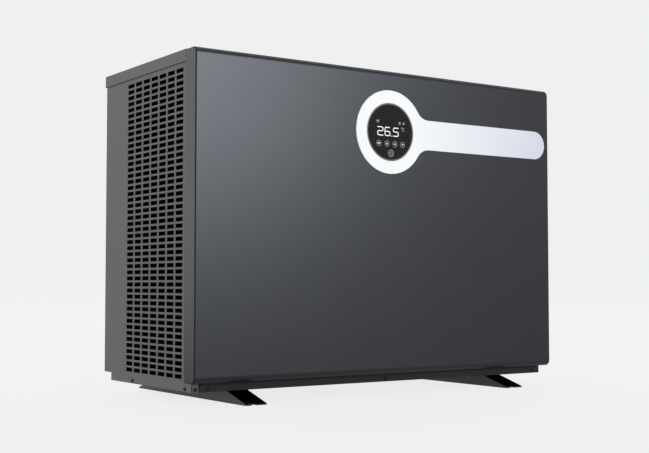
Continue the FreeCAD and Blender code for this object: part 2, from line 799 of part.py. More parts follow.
def make_rear_panel():
    """The rear cover of the machine side, with holes for the unions and the cable, and vents."""
    body = new_body("rear_body", ("partition_x - 1", "back_y - metal", "foot_height + play"))
    plate = body.newObject("PartDesign::AdditiveBox", "rear_plate")
    bind(
        plate,
        Length="wall_x - partition_x + 1 - side_flange - play",
        Width="metal",
        Height="wall_height - play",
    )
    holes = sketch(body, "XZ", "rear_holes")
    for level in ("inlet_z", "outlet_z"):
        draw_circle(
            holes,
            ("exchanger_x - partition_x + 1", f"{level} - foot_height - play"),
            "union_barrel + play",
        )
    draw_circle(
        holes,
        ("gland_x - partition_x + 1", "gland_z - foot_height - play"),
        "gland_radius + play",
    )
    pocket(body, holes, "metal * 2")
    vent = sketch(body, "XZ", "rear_vent")
    draw_rectangle(vent, ("40", "580"), ("vent_width", "vent_height"))
    opening = pocket(body, vent, "metal * 2")
    pattern(
        body,
        "rear_vents",
        opening,
        (vent, ["V_Axis"]),
        "vent_pitch * (vent_count - 1)",
        "vent_count",
    )
    return subpart(cut("rear_drilled", body, rear_drills), "rear_service_panel")


def make_coil_guard():
    """The grid that protects the air intake."""
    width = "partition_x - 2 + wall_x - side_flange - play"
    body = new_body(
        "guard_body",
        ("-wall_x + side_flange + play", "back_y - guard_depth", "foot_height + pan_rim + play"),
    )
    plate = body.newObject("PartDesign::AdditiveBox", "guard_plate")
    bind(plate, Length=width, Width="guard_depth", Height="wall_height - pan_rim - 2 * play")
    window = sketch(body, "XZ", "guard_window")
    draw_rectangle(window, ("5", "4"), ("window_width", "window_height"))
    opening = pocket(body, window, "guard_depth * 2")
    pattern(
        body,
        "guard_grid",
        opening,
        (window, ["H_Axis"]),
        "window_pitch_x * (guard_columns - 1)",
        "guard_columns",
        ((window, ["V_Axis"]), "window_pitch_z * (guard_rows - 1)", "guard_rows"),
    )
    return subpart(body, "rear_coil_guard")


# ---- Display ---------------------------------------------------------------


def make_display_surround():
    """The white key-shaped trim: a ring, a bar with a round end, and concave fillets between."""
    body = new_body("trim_body", ("display_x", "front_y", "display_z"))
    disc = sketch(body, "XZ", "trim_disc")
    draw_circle(disc, ("0", "0"), "ring_radius")
    pad(body, disc, "trim_thickness")
    bar = sketch(body, "XZ", "trim_bar")
    straight = "bar_end_x - display_x - bar_height / 2"
    draw_rectangle(bar, ("0", "-bar_height / 2"), (straight, "bar_height"))
    pad(body, bar, "trim_thickness")
    end = sketch(body, "XZ", "trim_end")
    draw_circle(end, (straight, "0"), "bar_height / 2")
    pad(body, end, "trim_thickness")
    doc.recompute()
    half_bar = value("bar_height") / 2
    neck = math.sqrt(value("ring_radius") ** 2 - half_bar**2)
    y_axis = Vector(0, 1, 0)
    fillet(
        body,
        "trim_neck",
        lambda e: runs_along(e, y_axis) and abs(e.CenterOfMass.x - neck) < 0.01,
        "neck_round",
    )
    opening = sketch(body, "XZ", "trim_opening")
    draw_circle(opening, ("0", "0"), "disc_radius")
    pocket(body, opening, "trim_thickness", backwards=True)
    front = -value("trim_thickness")
    fillet(body, "trim_edge", lambda e: e.BoundBox.YMax < front + 1e-3, "trim_round")
    return subpart(body, "display_surround")


def make_display():
    """Bezel, glass, housing and board, one behind the other on the display's axis."""

    def at(depth):
        return ("display_x", f"front_y + ({depth})", "display_z")

    bezel = ring(
        "bezel_ring",
        "disc_radius - play / 2",
        "disc_radius - bezel_width",
        "trim_thickness - glass_recess / 2",
        at("glass_recess / 2 - trim_thickness"),
        "y",
    )
    subpart(bezel, "display_bezel")
    glass = cylinder(
        "glass_disc",
        "disc_radius - bezel_width - play / 2",
        "trim_thickness - glass_recess",
        at("glass_recess - trim_thickness"),
        "y",
    )
    subpart(glass, "display_glass")
    cup = cylinder("housing_cup", "housing_radius", "housing_depth", at("play / 4"), "y")
    cup_hole = cylinder(
        "housing_hole",
        "housing_radius - housing_wall",
        "housing_depth - housing_wall",
        at("play / 4"),
        "y",
    )
    flange = ring(
        "housing_flange",
        "housing_radius + 10",
        "housing_radius - housing_wall",
        "housing_wall",
        at("front_metal + play"),
        "y",
    )
    subpart(fuse("housing_all", cut("housing_shell", cup, cup_hole), flange), "display_housing")
    plate = cylinder(
        "board_plate", "housing_radius - housing_wall - play", "1.6", at("10"), "y"
    )
    chip = box(
        "board_chip",
        ("24", "2.4", "24"),
        ("display_x - 12", "front_y + 11.6", "display_z - 12"),
    )
    socket = box(
        "board_socket",
        ("18", "8", "8"),
        ("display_x - 9", "front_y + 11.6", "display_z - 38"),
    )
    subpart(fuse("board_all", plate, chip, socket), "display_board")


# ---- Air side --------------------------------------------------------------


def make_linings():
    """Foam behind the front cover, and foam slabs behind the grille that keep the noise in."""
    slab = box(
        "foam_slab",
        ("partition_x + wall_x - 8", "foam", "front_height - 40"),
        ("-wall_x + 2", "front_y + front_metal + play", "foot_height + front_rise + 20"),
    )
    cleft = box(
        "foam_cleft",
        ("partition_x - display_x + 90", "foam * 2", "2 * housing_radius + 40"),
        ("display_x - housing_radius - 20", "front_y", "display_z - housing_radius - 20"),
    )
    subpart(cut("foam_cut", slab, cleft), "front_panel_foam")
    slabs = []
    for number in range(5):
        place = ("-wall_x + splitter_set_in", f"front_y + 55 + {number} * 59", "foot_height + 30")
        slabs.append(box(f"splitter{number}", ("splitter_depth", "foam", "casing_height - 50"), place))
    subpart(group("splitter_group", slabs), "acoustic_splitters")


def make_partition():
    panel = box(
        "partition_sheet",
        ("metal", "coil_front - front_y - front_return - 4", "inside_height - 4"),
        ("partition_x", "front_y + front_return + 2", "inside_z"),
    )
    flange = box(
        "partition_flange",
        ("side_flange", "metal", "inside_height - 4"),
        ("partition_x", "front_y + front_return + 2", "inside_z"),
    )
    subpart(fuse("partition_all", panel, flange), "partition_panel")


def make_fan():
    """Shroud, bracket, motor, shaft, impeller and nut, all on the fan axis."""

    def at(y):
        return ("fan_x", y, "fan_z")

    plate = box(
        "shroud_plate",
        ("partition_x + pan_half - metal - 2 * play", "metal", "inside_height - 4"),
        ("-pan_half + metal + play", "shroud_y", "inside_z"),
    )
    sleeve = cylinder(
        "shroud_sleeve",
        "shroud_radius + shroud_wall",
        "shroud_depth",
        at("shroud_y - shroud_depth + metal"),
        "y",
    )
    hole = cylinder(
        "shroud_hole", "shroud_radius", "shroud_depth * 2", at("shroud_y - shroud_depth"), "y"
    )
    subpart(cut("shroud_all", fuse("shroud_solid", plate, sleeve), hole), "fan_shroud")
    rails = []
    for sign in ("-", "+"):
        name = "left_rail" if sign == "-" else "right_rail"
        corner = f"fan_x {sign} rail_spacing / 2 - rail_width / 2"
        rail = box(name, ("rail_width", "rail_depth", "inside_height - 6"), (corner, "141", "inside_z"))
        groove = box(
            name + "_groove",
            ("rail_width - 3", "rail_depth", "inside_height"),
            (f"{corner} + 1.5", "142.5", "inside_z - 1"),
        )
        rails.append(cut(name + "_channel", rail, groove))
    plate = box(
        "motor_plate",
        ("rail_spacing + rail_width", "3", "120"),
        ("fan_x - rail_spacing / 2 - rail_width / 2", "138", "fan_z - 60"),
    )
    subpart(fuse("bracket_all", plate, *rails), "fan_motor_bracket")
    can = cylinder("motor_can", "motor_radius", "motor_length", at("motor_y"), "y")
    spigot = cylinder("motor_spigot", "motor_radius / 3", "6", at("motor_y - 6"), "y")
    bore = cylinder(
        "motor_bore", "shaft_radius + shaft_play", "shaft_back - motor_y + 8", at("motor_y - 7"), "y"
    )
    subpart(cut("motor_all", fuse("motor_solid", can, spigot), bore), "fan_motor")
    shaft = cylinder("shaft_rod", "shaft_radius", "shaft_back - shaft_front", at("shaft_front"), "y")
    subpart(shaft, "fan_shaft")
    nut = doc.addObject("Part::Prism", "nut_hexagon")
    nut.Polygon = 6
    bind(nut, Circumradius="shaft_radius * 1.8", Height="9")
    put(nut, at("hub_y - 9 - play / 10"), "y")
    nut_bore = cylinder("nut_bore", "shaft_radius + 0.01", "20", at("hub_y - 15"), "y")
    subpart(cut("nut_all", nut, nut_bore), "fan_nut")
    make_impeller()


def make_impeller():
    """A moulded five-blade axial wheel: cup hub, boss and twisted blades trimmed to a round tip."""
    body = new_body("impeller_body", ("fan_x", "hub_y", "fan_z"), "y")
    hub = sketch(body, "XY", "hub_circle")
    draw_circle(hub, ("0", "0"), "hub_radius")
    pad(body, hub, "hub_length")
    cup = sketch(body, "XY", "hub_cup")
    draw_circle(cup, ("0", "0"), "hub_radius - hub_wall")
    draw_circle(cup, ("0", "0"), "shaft_radius * 2.5")
    bind(cup, **{"AttachmentOffset.Base.z": "hub_wall"})
    pocket(body, cup, "hub_length", backwards=True)
    sections = []
    for number, (share, chord, pitch) in enumerate(((0.27, 96, 42), (0.62, 128, 30), (1.02, 160, 20))):
        section = sketch(body, "YZ", f"blade_section{number}")
        bind(section, **{"AttachmentOffset.Base.z": f"fan_radius * {share}"})
        draw_blade_section(section, chord, pitch)
        sections.append(section)
    doc.recompute()
    blade = body.newObject("PartDesign::AdditiveLoft", "blade")
    blade.Profile = sections[0]
    blade.Sections = sections[1:]
    doc.recompute()
    wheel = body.newObject("PartDesign::PolarPattern", "wheel")
    wheel.Originals = [blade]
    wheel.Axis = (hub, ["N_Axis"])
    wheel.Angle = 360
    bind(wheel, Occurrences="blade_count")
    body.Tip = wheel
    doc.recompute()
    envelope = ring(
        "wheel_envelope",
        "fan_radius",
        "shaft_radius + 0.01",
        "hub_length + 12",
        ("fan_x", "hub_y", "fan_z"),
        "y",
    )
    trimmed = doc.addObject("Part::Common", "impeller_trimmed")
    trimmed.Base = body
    trimmed.Tool = envelope
    return subpart(trimmed, "fan_impeller")


def draw_blade_section(drawing, chord, pitch):
    """A thin cambered section, its chord turned by the pitch angle from the plane of rotation."""
    turn = math.radians(pitch)
    middle = value("hub_length") / 2 + 2
    camber = chord * 0.07
    thick = value("blade_thickness") / 2
    chain = []
    for side in (1, -1):
        for step in (-0.5, -0.25, 0, 0.25, 0.5):
            along = chord * step * side
            rise = camber * (1 - 4 * step * step) + side * thick * (1 - 1.2 * abs(step))
            across = along * math.cos(turn) - rise * math.sin(turn)
            up = along * math.sin(turn) + rise * math.cos(turn)
            chain.append((f"{across:.3f}", f"{up + middle:.3f}"))
    draw_outline(drawing, chain)


def make_evaporator():
    """Fin pack, end plates, hairpin tubes and the two headers."""
    pack = box(
        "fin_block",
        ("coil_right - coil_left", "coil_depth", "tube_count * tube_pitch"),
        ("coil_left", "coil_front", "coil_bottom"),
    )
    plates = []
    for name, x in (("left_plate", "coil_left - end_plate"), ("right_plate", "coil_right")):
        plates.append(
            box(
                name,
                ("end_plate", "coil_depth", "tube_count * tube_pitch"),
                (x, "coil_front", "coil_bottom"),
            )
        )
    rows = [f"coil_front + coil_depth / 2 {sign} tube_rows_apart / 2" for sign in ("-", "+")]
    count = int(value("tube_count"))
    start = "coil_left - end_plate"
    length = "coil_right - coil_left + 2 * end_plate"
    tubes = []
    holes = []
    for row, y in enumerate(rows):
        for number in range(count):
            place = (start, y, f"coil_bottom + tube_pitch * {number + 0.5}")
            tubes.append(cylinder(f"tube{row}_{number}", "tube_radius", length, place, "x"))
            hole_place = (f"{start} - 1", place[1], place[2])
            holes.append(
                cylinder(
                    f"hole{row}_{number}", "tube_radius + tube_play", f"{length} + 2", hole_place, "x"
                )
            )
        for number in range(count - 1):
            at_right = number % 2 == 1
            if at_right and number % 8 == 7:
                continue
            bend = doc.addObject("Part::Torus", f"bend{row}_{number}")
            bind(bend, Radius1="tube_pitch / 2", Radius2="tube_radius", Angle3="180")
            x = "coil_right + end_plate" if at_right else start
            put(bend, (x, y, f"coil_bottom + tube_pitch * {number + 1}"))
            turn = FreeCAD.Rotation(Vector(1, 0, 0), 90)
            quarter = FreeCAD.Rotation(Vector(0, 1, 0), 90 if at_right else -90)
            bend.Placement.Rotation = quarter.multiply(turn)
            tubes.append(bend)
    drill = group("tube_holes", holes)
    subpart(cut("fin_pack", pack, drill), "evaporator_fins")
    subpart(cut("end_plates", group("end_plate_pair", plates), drill), "evaporator_end_plates")
    subpart(group("tube_group", tubes), "evaporator_tubes")
    ends = [0] + [n + step for n in range(7, count - 1, 8) for step in (0, 1)] + [count - 1]
    for label, x, y, radius in (
        ("liquid_header", "liquid_header_x", rows[0], "liquid_header_radius"),
        ("gas_header", "gas_header_x", rows[1], "header_radius"),
    ):
        pieces = [
            cylinder(label + "_pipe", radius, "tube_count * tube_pitch - 10", (x, y, "coil_bottom + 5"))
        ]
        for number in ends:
            place = ("coil_right + end_plate", y, f"coil_bottom + tube_pitch * {number + 0.5}")
            pieces.append(
                cylinder(
                    f"{label}_stub{number}", "tube_radius", f"{x} - coil_right - end_plate", place, "x"
                )
            )
        subpart(fuse(label + "_all", *pieces), label)


# ---- Refrigerant side -------------------------------------------------------


def vessel(name, radius, height, dome, place):
    """A closed pressure vessel: a cylinder with rounded ends."""
    body = new_body(name, place)
    can = body.newObject("PartDesign::AdditiveCylinder", name + "_can")
    bind(can, Radius=radius, Height=height)
    fillet(body, name + "_domes", lambda e: e.BoundBox.ZLength < 1e-6, dome)
    doc.recompute()
    return body


def around(centre_x, centre_y, radius, number, total, start=90):
    """The place of one of several holes on a circle, as two expressions."""
    angle = start + 360 * number / total
    return f"{centre_x} + {radius} * cos({angle})", f"{centre_y} + {radius} * sin({angle})"


def make_compressor():
    """The hermetic shell on its plate, its rubber mounts, studs and terminal cover."""
    shell = vessel(
        "compressor_vessel",
        "compressor_radius",
        "compressor_height",
        "compressor_dome",
        ("compressor_x", "compressor_y", "compressor_bottom"),
    )
    pieces = [shell]
    holes = []
    grommets = []
    studs = []
    for number in range(3):
        x, y = around("compressor_x", "compressor_y", "compressor_foot_radius", number, 3)
        pieces.append(cylinder(f"foot_pad{number}", "18", "3", (x, y, "compressor_bottom - 6")))
        arm = box(f"foot_arm{number}", ("compressor_foot_radius", "30", "3"), ORIGIN)
        put(arm, ("compressor_x", "compressor_y", "compressor_bottom - 6"))
        angle = 90 + 120 * number
        arm.Placement.Rotation = FreeCAD.Rotation(Vector(0, 0, 1), angle)
        shift = math.radians(angle)
        for letter, text in (
            ("x", f"compressor_x + 15 * {math.sin(shift):.6f}"),
            ("y", f"compressor_y - 15 * {math.cos(shift):.6f}"),
        ):
            arm.setExpression("Placement.Base." + letter, expression(text))
        pieces.append(arm)
        holes.append(cylinder(f"foot_hole{number}", "9", "20", (x, y, "compressor_bottom - 14")))
        lower = ring(
            f"grommet_low{number}",
            "grommet_radius",
            "stud_radius + play",
            "compressor_bottom - 6 - floor_z",
            (x, y, "floor_z"),
        )
        neck = ring(
            f"grommet_neck{number}", "8.7", "stud_radius + play", "3", (x, y, "compressor_bottom - 6")
        )
        upper = ring(
            f"grommet_top{number}", "grommet_radius - 1", "stud_radius + play", "5", (
                x, y, "compressor_bottom - 3"
            )
        )
        grommets.append(fuse(f"grommet{number}", lower, neck, upper))
        stud = cylinder(f"stud_rod{number}", "stud_radius", "stud_top - floor_z + 6", (x, y, "floor_z"))
        nut = doc.addObject("Part::Prism", f"stud_nut{number}")
        nut.Polygon = 6
        bind(nut, Circumradius="stud_radius * 1.8", Height="6")
        put(nut, (x, y, "compressor_bottom + 2.3"))
        studs.append(fuse(f"stud{number}", stud, nut))
    seat = cylinder(
        "shell_seat",
        "compressor_radius - 12",
        "12",
        ("compressor_x", "compressor_y", "compressor_bottom - 6"),
    )
    neck = cylinder(
        "discharge_nipple",
        "pipe_radius + 1.5",
        "18",
        ("compressor_x", "compressor_y", "compressor_bottom + compressor_height - 4"),
    )
    side = cylinder(
        "suction_nipple",
        "suction_radius + 1",
        "compressor_radius + 6",
        ("compressor_x", "compressor_y", "compressor_bottom + 70"),
        "x",
    )
    subpart(
        cut("compressor_all", fuse("compressor_solid", seat, neck, side, *pieces), *holes), "compressor"
    )
    subpart(group("grommet_group", grommets), "compressor_grommets")
    subpart(group("stud_group", studs), "compressor_studs")
    cover = box(
        "terminal_block_cover",
        ("52", "24", "60"),
        ("compressor_x - 26", "compressor_y - compressor_radius - 22", "compressor_bottom + 190"),
    )
    clearance = cylinder(
        "terminal_clearance",
        "compressor_radius + play",
        "compressor_height",
        ("compressor_x", "compressor_y", "compressor_bottom"),
    )
    subpart(cut("terminal_all", cover, clearance), "compressor_terminal_cover")
    tank = vessel(
        "accumulator_vessel",
        "accumulator_radius",
        "accumulator_height",
        "accumulator_radius * 0.6",
        ("accumulator_x", "accumulator_y", "accumulator_bottom"),
    )
    nipple = cylinder(
        "accumulator_nipple",
        "suction_radius + 1.5",
        "20",
        ("accumulator_x", "accumulator_y", "accumulator_bottom + accumulator_height - 6"),
    )
    subpart(fuse("accumulator_all", tank, nipple), "accumulator")


def make_valves():
    """The four-way valve with its coil, and the electronic expansion valve."""
    centre = ("compressor_x - valve_length / 2", "compressor_y", "valve_z")
    pieces = [cylinder("valve_barrel", "valve_radius", "valve_length", centre, "x")]
    for number, shift in enumerate(("-port_pitch", "0", "port_pitch")):
        place = (f"compressor_x + {shift}", "compressor_y", "valve_z")
        pieces.append(cylinder(f"valve_port{number}", "suction_radius + 1.5", "port_height", place))
    below = ("compressor_x", "compressor_y", "valve_z - port_height")
    pieces.append(cylinder("valve_port_low", "pipe_radius + 1.5", "port_height", below))
    subpart(fuse("valve_all", *pieces), "four_way_valve")
    coil = ring(
        "solenoid",
        "20",
        "valve_radius + play",
        "34",
        ("compressor_x - valve_length / 2 - 20", "compressor_y", "valve_z"),
        "x",
    )
    cap = cylinder(
        "solenoid_cap",
        "20",
        "3",
        ("compressor_x - valve_length / 2 - 23", "compressor_y", "valve_z"),
        "x",
    )
    lead = box(
        "solenoid_lead",
        ("20", "16", "10"),
        ("compressor_x - valve_length / 2 - 15", "compressor_y - 8", "valve_z + 19"),
    )
    trim = cylinder(
        "solenoid_trim",
        "valve_radius + play",
        "60",
        ("compressor_x - valve_length / 2 - 20", "compressor_y", "valve_z"),
        "x",
    )
    subpart(cut("solenoid_all", fuse("solenoid_solid", coil, cap, lead), trim), "four_way_coil")
    place = ("expansion_x", "expansion_y", "expansion_z")
    lower = cylinder("expansion_body", "12", "40", place)
    motor = cylinder("expansion_motor", "19", "30", ("expansion_x", "expansion_y", "expansion_z + 38"))
    outlet = cylinder(
        "expansion_outlet",
        "liquid_radius + 1.5",
        "20",
        ("expansion_x - 20", "expansion_y", "expansion_z + 15"),
        "x",
    )
    subpart(fuse("expansion_all", lower, motor, outlet), "expansion_valve")


def bent_pipe(name, points, radius):
    """A pipe along straight runs joined by tangent arcs of the bend radius."""
    corners = [Vector(*[value(c) for c in point]) for point in points]
    bend = value("pipe_bend")
    edges = []
    start = corners[0]
    for before, corner, after in zip(corners, corners[1:], corners[2:]):
        to_before = (before - corner).normalize()
        to_after = (after - corner).normalize()
        half = to_before.getAngle(to_after) / 2
        reach = bend / math.tan(half)
        first = corner + to_before * reach
        last = corner + to_after * reach
        middle = (to_before + to_after).normalize()
        centre_distance = bend / math.sin(half)
        top = corner + middle * (centre_distance - bend)
        edges.append(Part.LineSegment(start, first).toShape())
        edges.append(Part.Arc(first, top, last).toShape())
        start = last
    edges.append(Part.LineSegment(start, corners[-1]).toShape())
    path = Part.Wire(edges)
    heading = (corners[1] - corners[0]).normalize()
    circle = Part.Wire(Part.Circle(corners[0], heading, value(radius)).toShape())
    pipe = doc.addObject("Part::Feature", name)
    pipe.Shape = path.makePipeShell([circle], True, True)
    expected = path.Length * math.pi * value(radius) ** 2
    if abs(pipe.Shape.Volume / expected - 1) > 0.02:
        raise RuntimeError(f"{name} has the wrong volume")
    return pipe


def make_pipes():
    """The copper pipes of the refrigerant circuit."""
    gap = "play / 10"
    port_top = f"valve_z + port_height + {gap}"
    compressor_top = f"compressor_bottom + compressor_height + 14 + {gap}"
    discharge = bent_pipe(
        "discharge_run",
        [
            ("compressor_x", "compressor_y", compressor_top),
            ("compressor_x", "compressor_y", f"valve_z - port_height - {gap}"),
        ],
        "pipe_radius",
    )
    suction = bent_pipe(
        "suction_run",
        [
            ("compressor_x", "compressor_y", port_top),
            ("compressor_x", "compressor_y", "valve_z + 80"),
            ("accumulator_x", "accumulator_y", "valve_z + 80"),
            (
                "accumulator_x",
                "accumulator_y",
                f"accumulator_bottom + accumulator_height + 14 + {gap}",
            ),
        ],
        "suction_radius",
    )
    hot_gas = bent_pipe(
        "hot_gas_run",
        [
            ("compressor_x + port_pitch", "compressor_y", port_top),
            ("compressor_x + port_pitch", "compressor_y", "valve_z + 52"),
            ("compressor_x + port_pitch", "exchanger_y + 35", "valve_z + 52"),
            ("exchanger_x - 45", "exchanger_y + 35", "valve_z + 52"),
            (
                "exchanger_x - 45",
                "exchanger_y + 35",
                f"exchanger_bottom + exchanger_height + exchanger_cap + play / 3 + {gap}",
            ),
        ],
        "pipe_radius",
    )
    evaporator_gas = bent_pipe(
        "evaporator_gas_run",
        [
            ("compressor_x - port_pitch", "compressor_y", port_top),
            ("compressor_x - port_pitch", "compressor_y", "valve_z + 62"),
            ("compressor_x - port_pitch", "coil_front + coil_depth / 2 + tube_rows_apart / 2", "valve_z + 62"),
            (
                f"gas_header_x + header_radius + {gap}",
                "coil_front + coil_depth / 2 + tube_rows_apart / 2",
                "valve_z + 62",
            ),
        ],
        "pipe_radius",
    )
    warm_liquid = bent_pipe(
        "warm_liquid_run",
        [
            (f"exchanger_x - exchanger_radius - 6 - {gap}", "exchanger_y", "exchanger_bottom + 40"),
            ("expansion_x", "exchanger_y", "exchanger_bottom + 40"),
            ("expansion_x", "expansion_y", "exchanger_bottom + 40"),
            ("expansion_x", "expansion_y", f"expansion_z - {gap}"),
        ],
        "liquid_radius",
    )
    cold_liquid = bent_pipe(
        "cold_liquid_run",
        [
            (f"expansion_x - 20 - {gap}", "expansion_y", "expansion_z + 15"),
            ("liquid_header_x", "expansion_y", "expansion_z + 15"),
            (
                "liquid_header_x",
                f"coil_front + coil_depth / 2 - tube_rows_apart / 2 - liquid_header_radius - {gap}",
                "expansion_z + 15",
            ),
        ],
        "liquid_radius",
    )
    subpart(group("gas_runs", [discharge, hot_gas, evaporator_gas]), "gas_pipes")
    subpart(suction, "suction_pipe")
    subpart(group("liquid_runs", [warm_liquid, cold_liquid]), "liquid_pipes")


# ---- Water side --------------------------------------------------------------


def make_exchanger():
    """The plastic shell with its cap, and the titanium coil inside."""
    centre = ("exchanger_x", "exchanger_y", "exchanger_bottom")
    solid = [cylinder("exchanger_can", "exchanger_radius", "exchanger_height", centre)]
    hollow = [
        cylinder(
            "exchanger_hollow",
            "exchanger_radius - exchanger_wall",
            "exchanger_height",
            ("exchanger_x", "exchanger_y", "exchanger_bottom + exchanger_wall"),
        )
    ]
    for name, level in (("inlet", "inlet_z"), ("outlet", "outlet_z")):
        place = ("exchanger_x", "exchanger_y", level)
        solid.append(cylinder(name + "_stub", "water_radius + 2", "stub_end - exchanger_y", place, "y"))
        hollow.append(
            cylinder(name + "_stub_bore", "water_bore", "stub_end - exchanger_y + 1", place, "y")
        )
    liquid = (
        "exchanger_x - exchanger_radius - 6",
        "exchanger_y",
        "exchanger_bottom + 40",
    )
    solid.append(cylinder("liquid_stub", "liquid_radius + 2", "exchanger_wall + 6", liquid, "x"))
    subpart(cut("exchanger_all", fuse("exchanger_solid", *solid), *hollow), "exchanger_shell")
    cap = cylinder(
        "cap_disc",
        "exchanger_radius + 6",
        "exchanger_cap",
        ("exchanger_x", "exchanger_y", "exchanger_bottom + exchanger_height + play / 3"),
    )
    subpart(cap, "exchanger_cap")
    helix = doc.addObject("Part::Helix", "coil_helix")
    bind(helix, Pitch="coil_pitch", Height="coil_length", Radius="coil_radius")
    section = doc.addObject("Part::Circle", "coil_section")
    bind(section, Radius="coil_tube")
    section.Placement.Rotation = FreeCAD.Rotation(Vector(1, 0, 0), 90)
    section.setExpression("Placement.Base.x", expression("coil_radius"))
    doc.recompute()
    sweep = doc.addObject("Part::Sweep", "coil_sweep")
    sweep.Sections = [section]
    sweep.Spine = (helix, [])
    sweep.Solid = True
    sweep.Frenet = True
    put(sweep, ("exchanger_x", "exchanger_y", "exchanger_bottom + 40"))
    subpart(sweep, "titanium_coil")


def make_water_side():
    """Straight water pipes from the exchanger to the two unions in the rear cover."""

    def behind(distance, level):
        return ("exchanger_x", f"back_y + ({distance})", level)

    bodies = []
    seals = []
    tails = []
    for side, level in (("inlet", "inlet_z"), ("outlet", "outlet_z")):
        start = ("exchanger_x", "stub_end + play / 10", level)
        length = "union_start - stub_end - play / 5"
        pipe = cylinder(f"{side}_pipe_outside", "water_radius", length, start, "y")
        bore = cylinder(f"{side}_pipe_bore", "water_bore", length, start, "y")
        if side == "inlet":
            base = ("exchanger_x", "switch_y", level)
            boss = cylinder("switch_boss", "boss_radius", "pivot_rise - 8", base)
            boss_bore = cylinder("switch_boss_bore", "boss_bore", "pivot_rise", base)
            pipe = cut("inlet_pipe_all", fuse("inlet_pipe_solid", pipe, boss), bore, boss_bore)
        else:
            pipe = cut("outlet_pipe_all", pipe, bore)
        subpart(pipe, f"water_{side}_pipe")
        inner = ("exchanger_x", "union_start", level)
        barrel = cylinder(f"{side}_barrel", "union_barrel", "back_y - union_start + 1", inner, "y")
        collar = cylinder(f"{side}_collar", "union_collar", "collar_thickness", behind("0", level), "y")
        thread = cylinder(f"{side}_thread", "thread_radius", "thread_end", behind("0", level), "y")
        hole = cylinder(f"{side}_barrel_bore", "water_bore + 2", "100", inner, "y")
        solid = fuse(f"{side}_union_solid", barrel, collar, thread)
        bodies.append(cut(f"{side}_union_all", solid, hole))
        seals.append(
            ring(
                f"{side}_seal",
                "seal_radius",
                "water_bore + 2",
                "seal_thickness",
                behind("thread_end", level),
                "y",
            )
        )
        tail_start = "(thread_end + seal_thickness)"
        flange = cylinder(
            f"{side}_tail_flange",
            "tail_flange",
            "tail_flange_thickness",
            behind(tail_start, level),
            "y",
        )
        tail = cylinder(
            f"{side}_tail_barrel",
            "tail_barrel",
            f"tail_end - {tail_start}",
            behind(tail_start, level),
            "y",
        )
        passage = cylinder(
            f"{side}_tail_bore", "water_bore", "tail_end", behind(tail_start, level), "y"
        )
        socket = cylinder(
            f"{side}_socket",
            "socket_radius",
            "socket_length + 1",
            behind("tail_end - socket_length", level),
            "y",
        )
        tails.append(cut(f"{side}_tail_all", fuse(f"{side}_tail_solid", flange, tail), passage, socket))
        make_union_nut(side, level)
    subpart(group("union_body_pair", bodies), "union_bodies")
    subpart(group("seal_pair", seals), "union_seals")
    subpart(group("union_tail_pair", tails), "union_tails")
    make_flow_switch()


def make_union_nut(side, level):
    """A ribbed nut that turns freely on the thread and pulls the tail's flange on to the seal."""

    def behind(distance):
        return ("exchanger_x", f"back_y + ({distance})", level)

    length = "nut_end - nut_start"
    pieces = [cylinder(f"{side}_nut_outside", "nut_radius", length, behind("nut_start"), "y")]
    total = int(value("rib_count"))
    for number in range(total):
        x, z = around("exchanger_x", level, "nut_radius", number, total)
        pieces.append(
            cylinder(
                f"{side}_nut_rib{number}",
                "rib_radius",
                f"{length} - 4",
                (x, "back_y + nut_start + 2", z),
                "y",
            )
        )
    wide = cylinder(
        f"{side}_nut_wide", "nut_bore", "nut_shoulder - nut_start", behind("nut_start"), "y"
    )
    mouth = cylinder(f"{side}_nut_mouth", "nut_mouth", f"{length} + 1", behind("nut_start"), "y")
    subpart(
        cut(f"{side}_nut_all", fuse(f"{side}_nut_solid", *pieces), wide, mouth), f"{side}_union_nut"
    )


def make_flow_switch():
    """A paddle on a cross pin: the incoming water pushes it towards the exchanger."""
    block = box(
        "switch_block",
        ("switch_size", "switch_size", "switch_size - 10"),
        ("exchanger_x - switch_size / 2", "switch_y - switch_size / 2", "inlet_z + pivot_rise - 8 + play / 3"),
    )
    cavity = box(
        "switch_cavity",
        ("18", "22", "16"),
        ("exchanger_x - 9", "switch_y - 11", "inlet_z + pivot_rise - 9"),
    )
    holes = cylinder(
        "switch_pin_holes",
        "2.05",
        "30.4",
        ("exchanger_x - 15.2", "switch_y", "inlet_z + pivot_rise"),
        "x",
    )
    subpart(cut("switch_all", block, cavity, holes), "flow_switch_body")
    pin = cylinder(
        "paddle_pin", "2", "30", ("exchanger_x - 15", "switch_y", "inlet_z + pivot_rise"), "x"
    )
    stem = cylinder("paddle_stem", "1.5", "pivot_rise", ("exchanger_x", "switch_y", "inlet_z"))
    blade = box(
        "paddle_blade",
        ("paddle_width", "1.5", "22"),
        ("exchanger_x - paddle_width / 2", "switch_y - 0.75", "inlet_z - 12"),
    )
    subpart(fuse("paddle_all", pin, stem, blade), "flow_switch_paddle")


# ---- Electrical side -----------------------------------------------------------


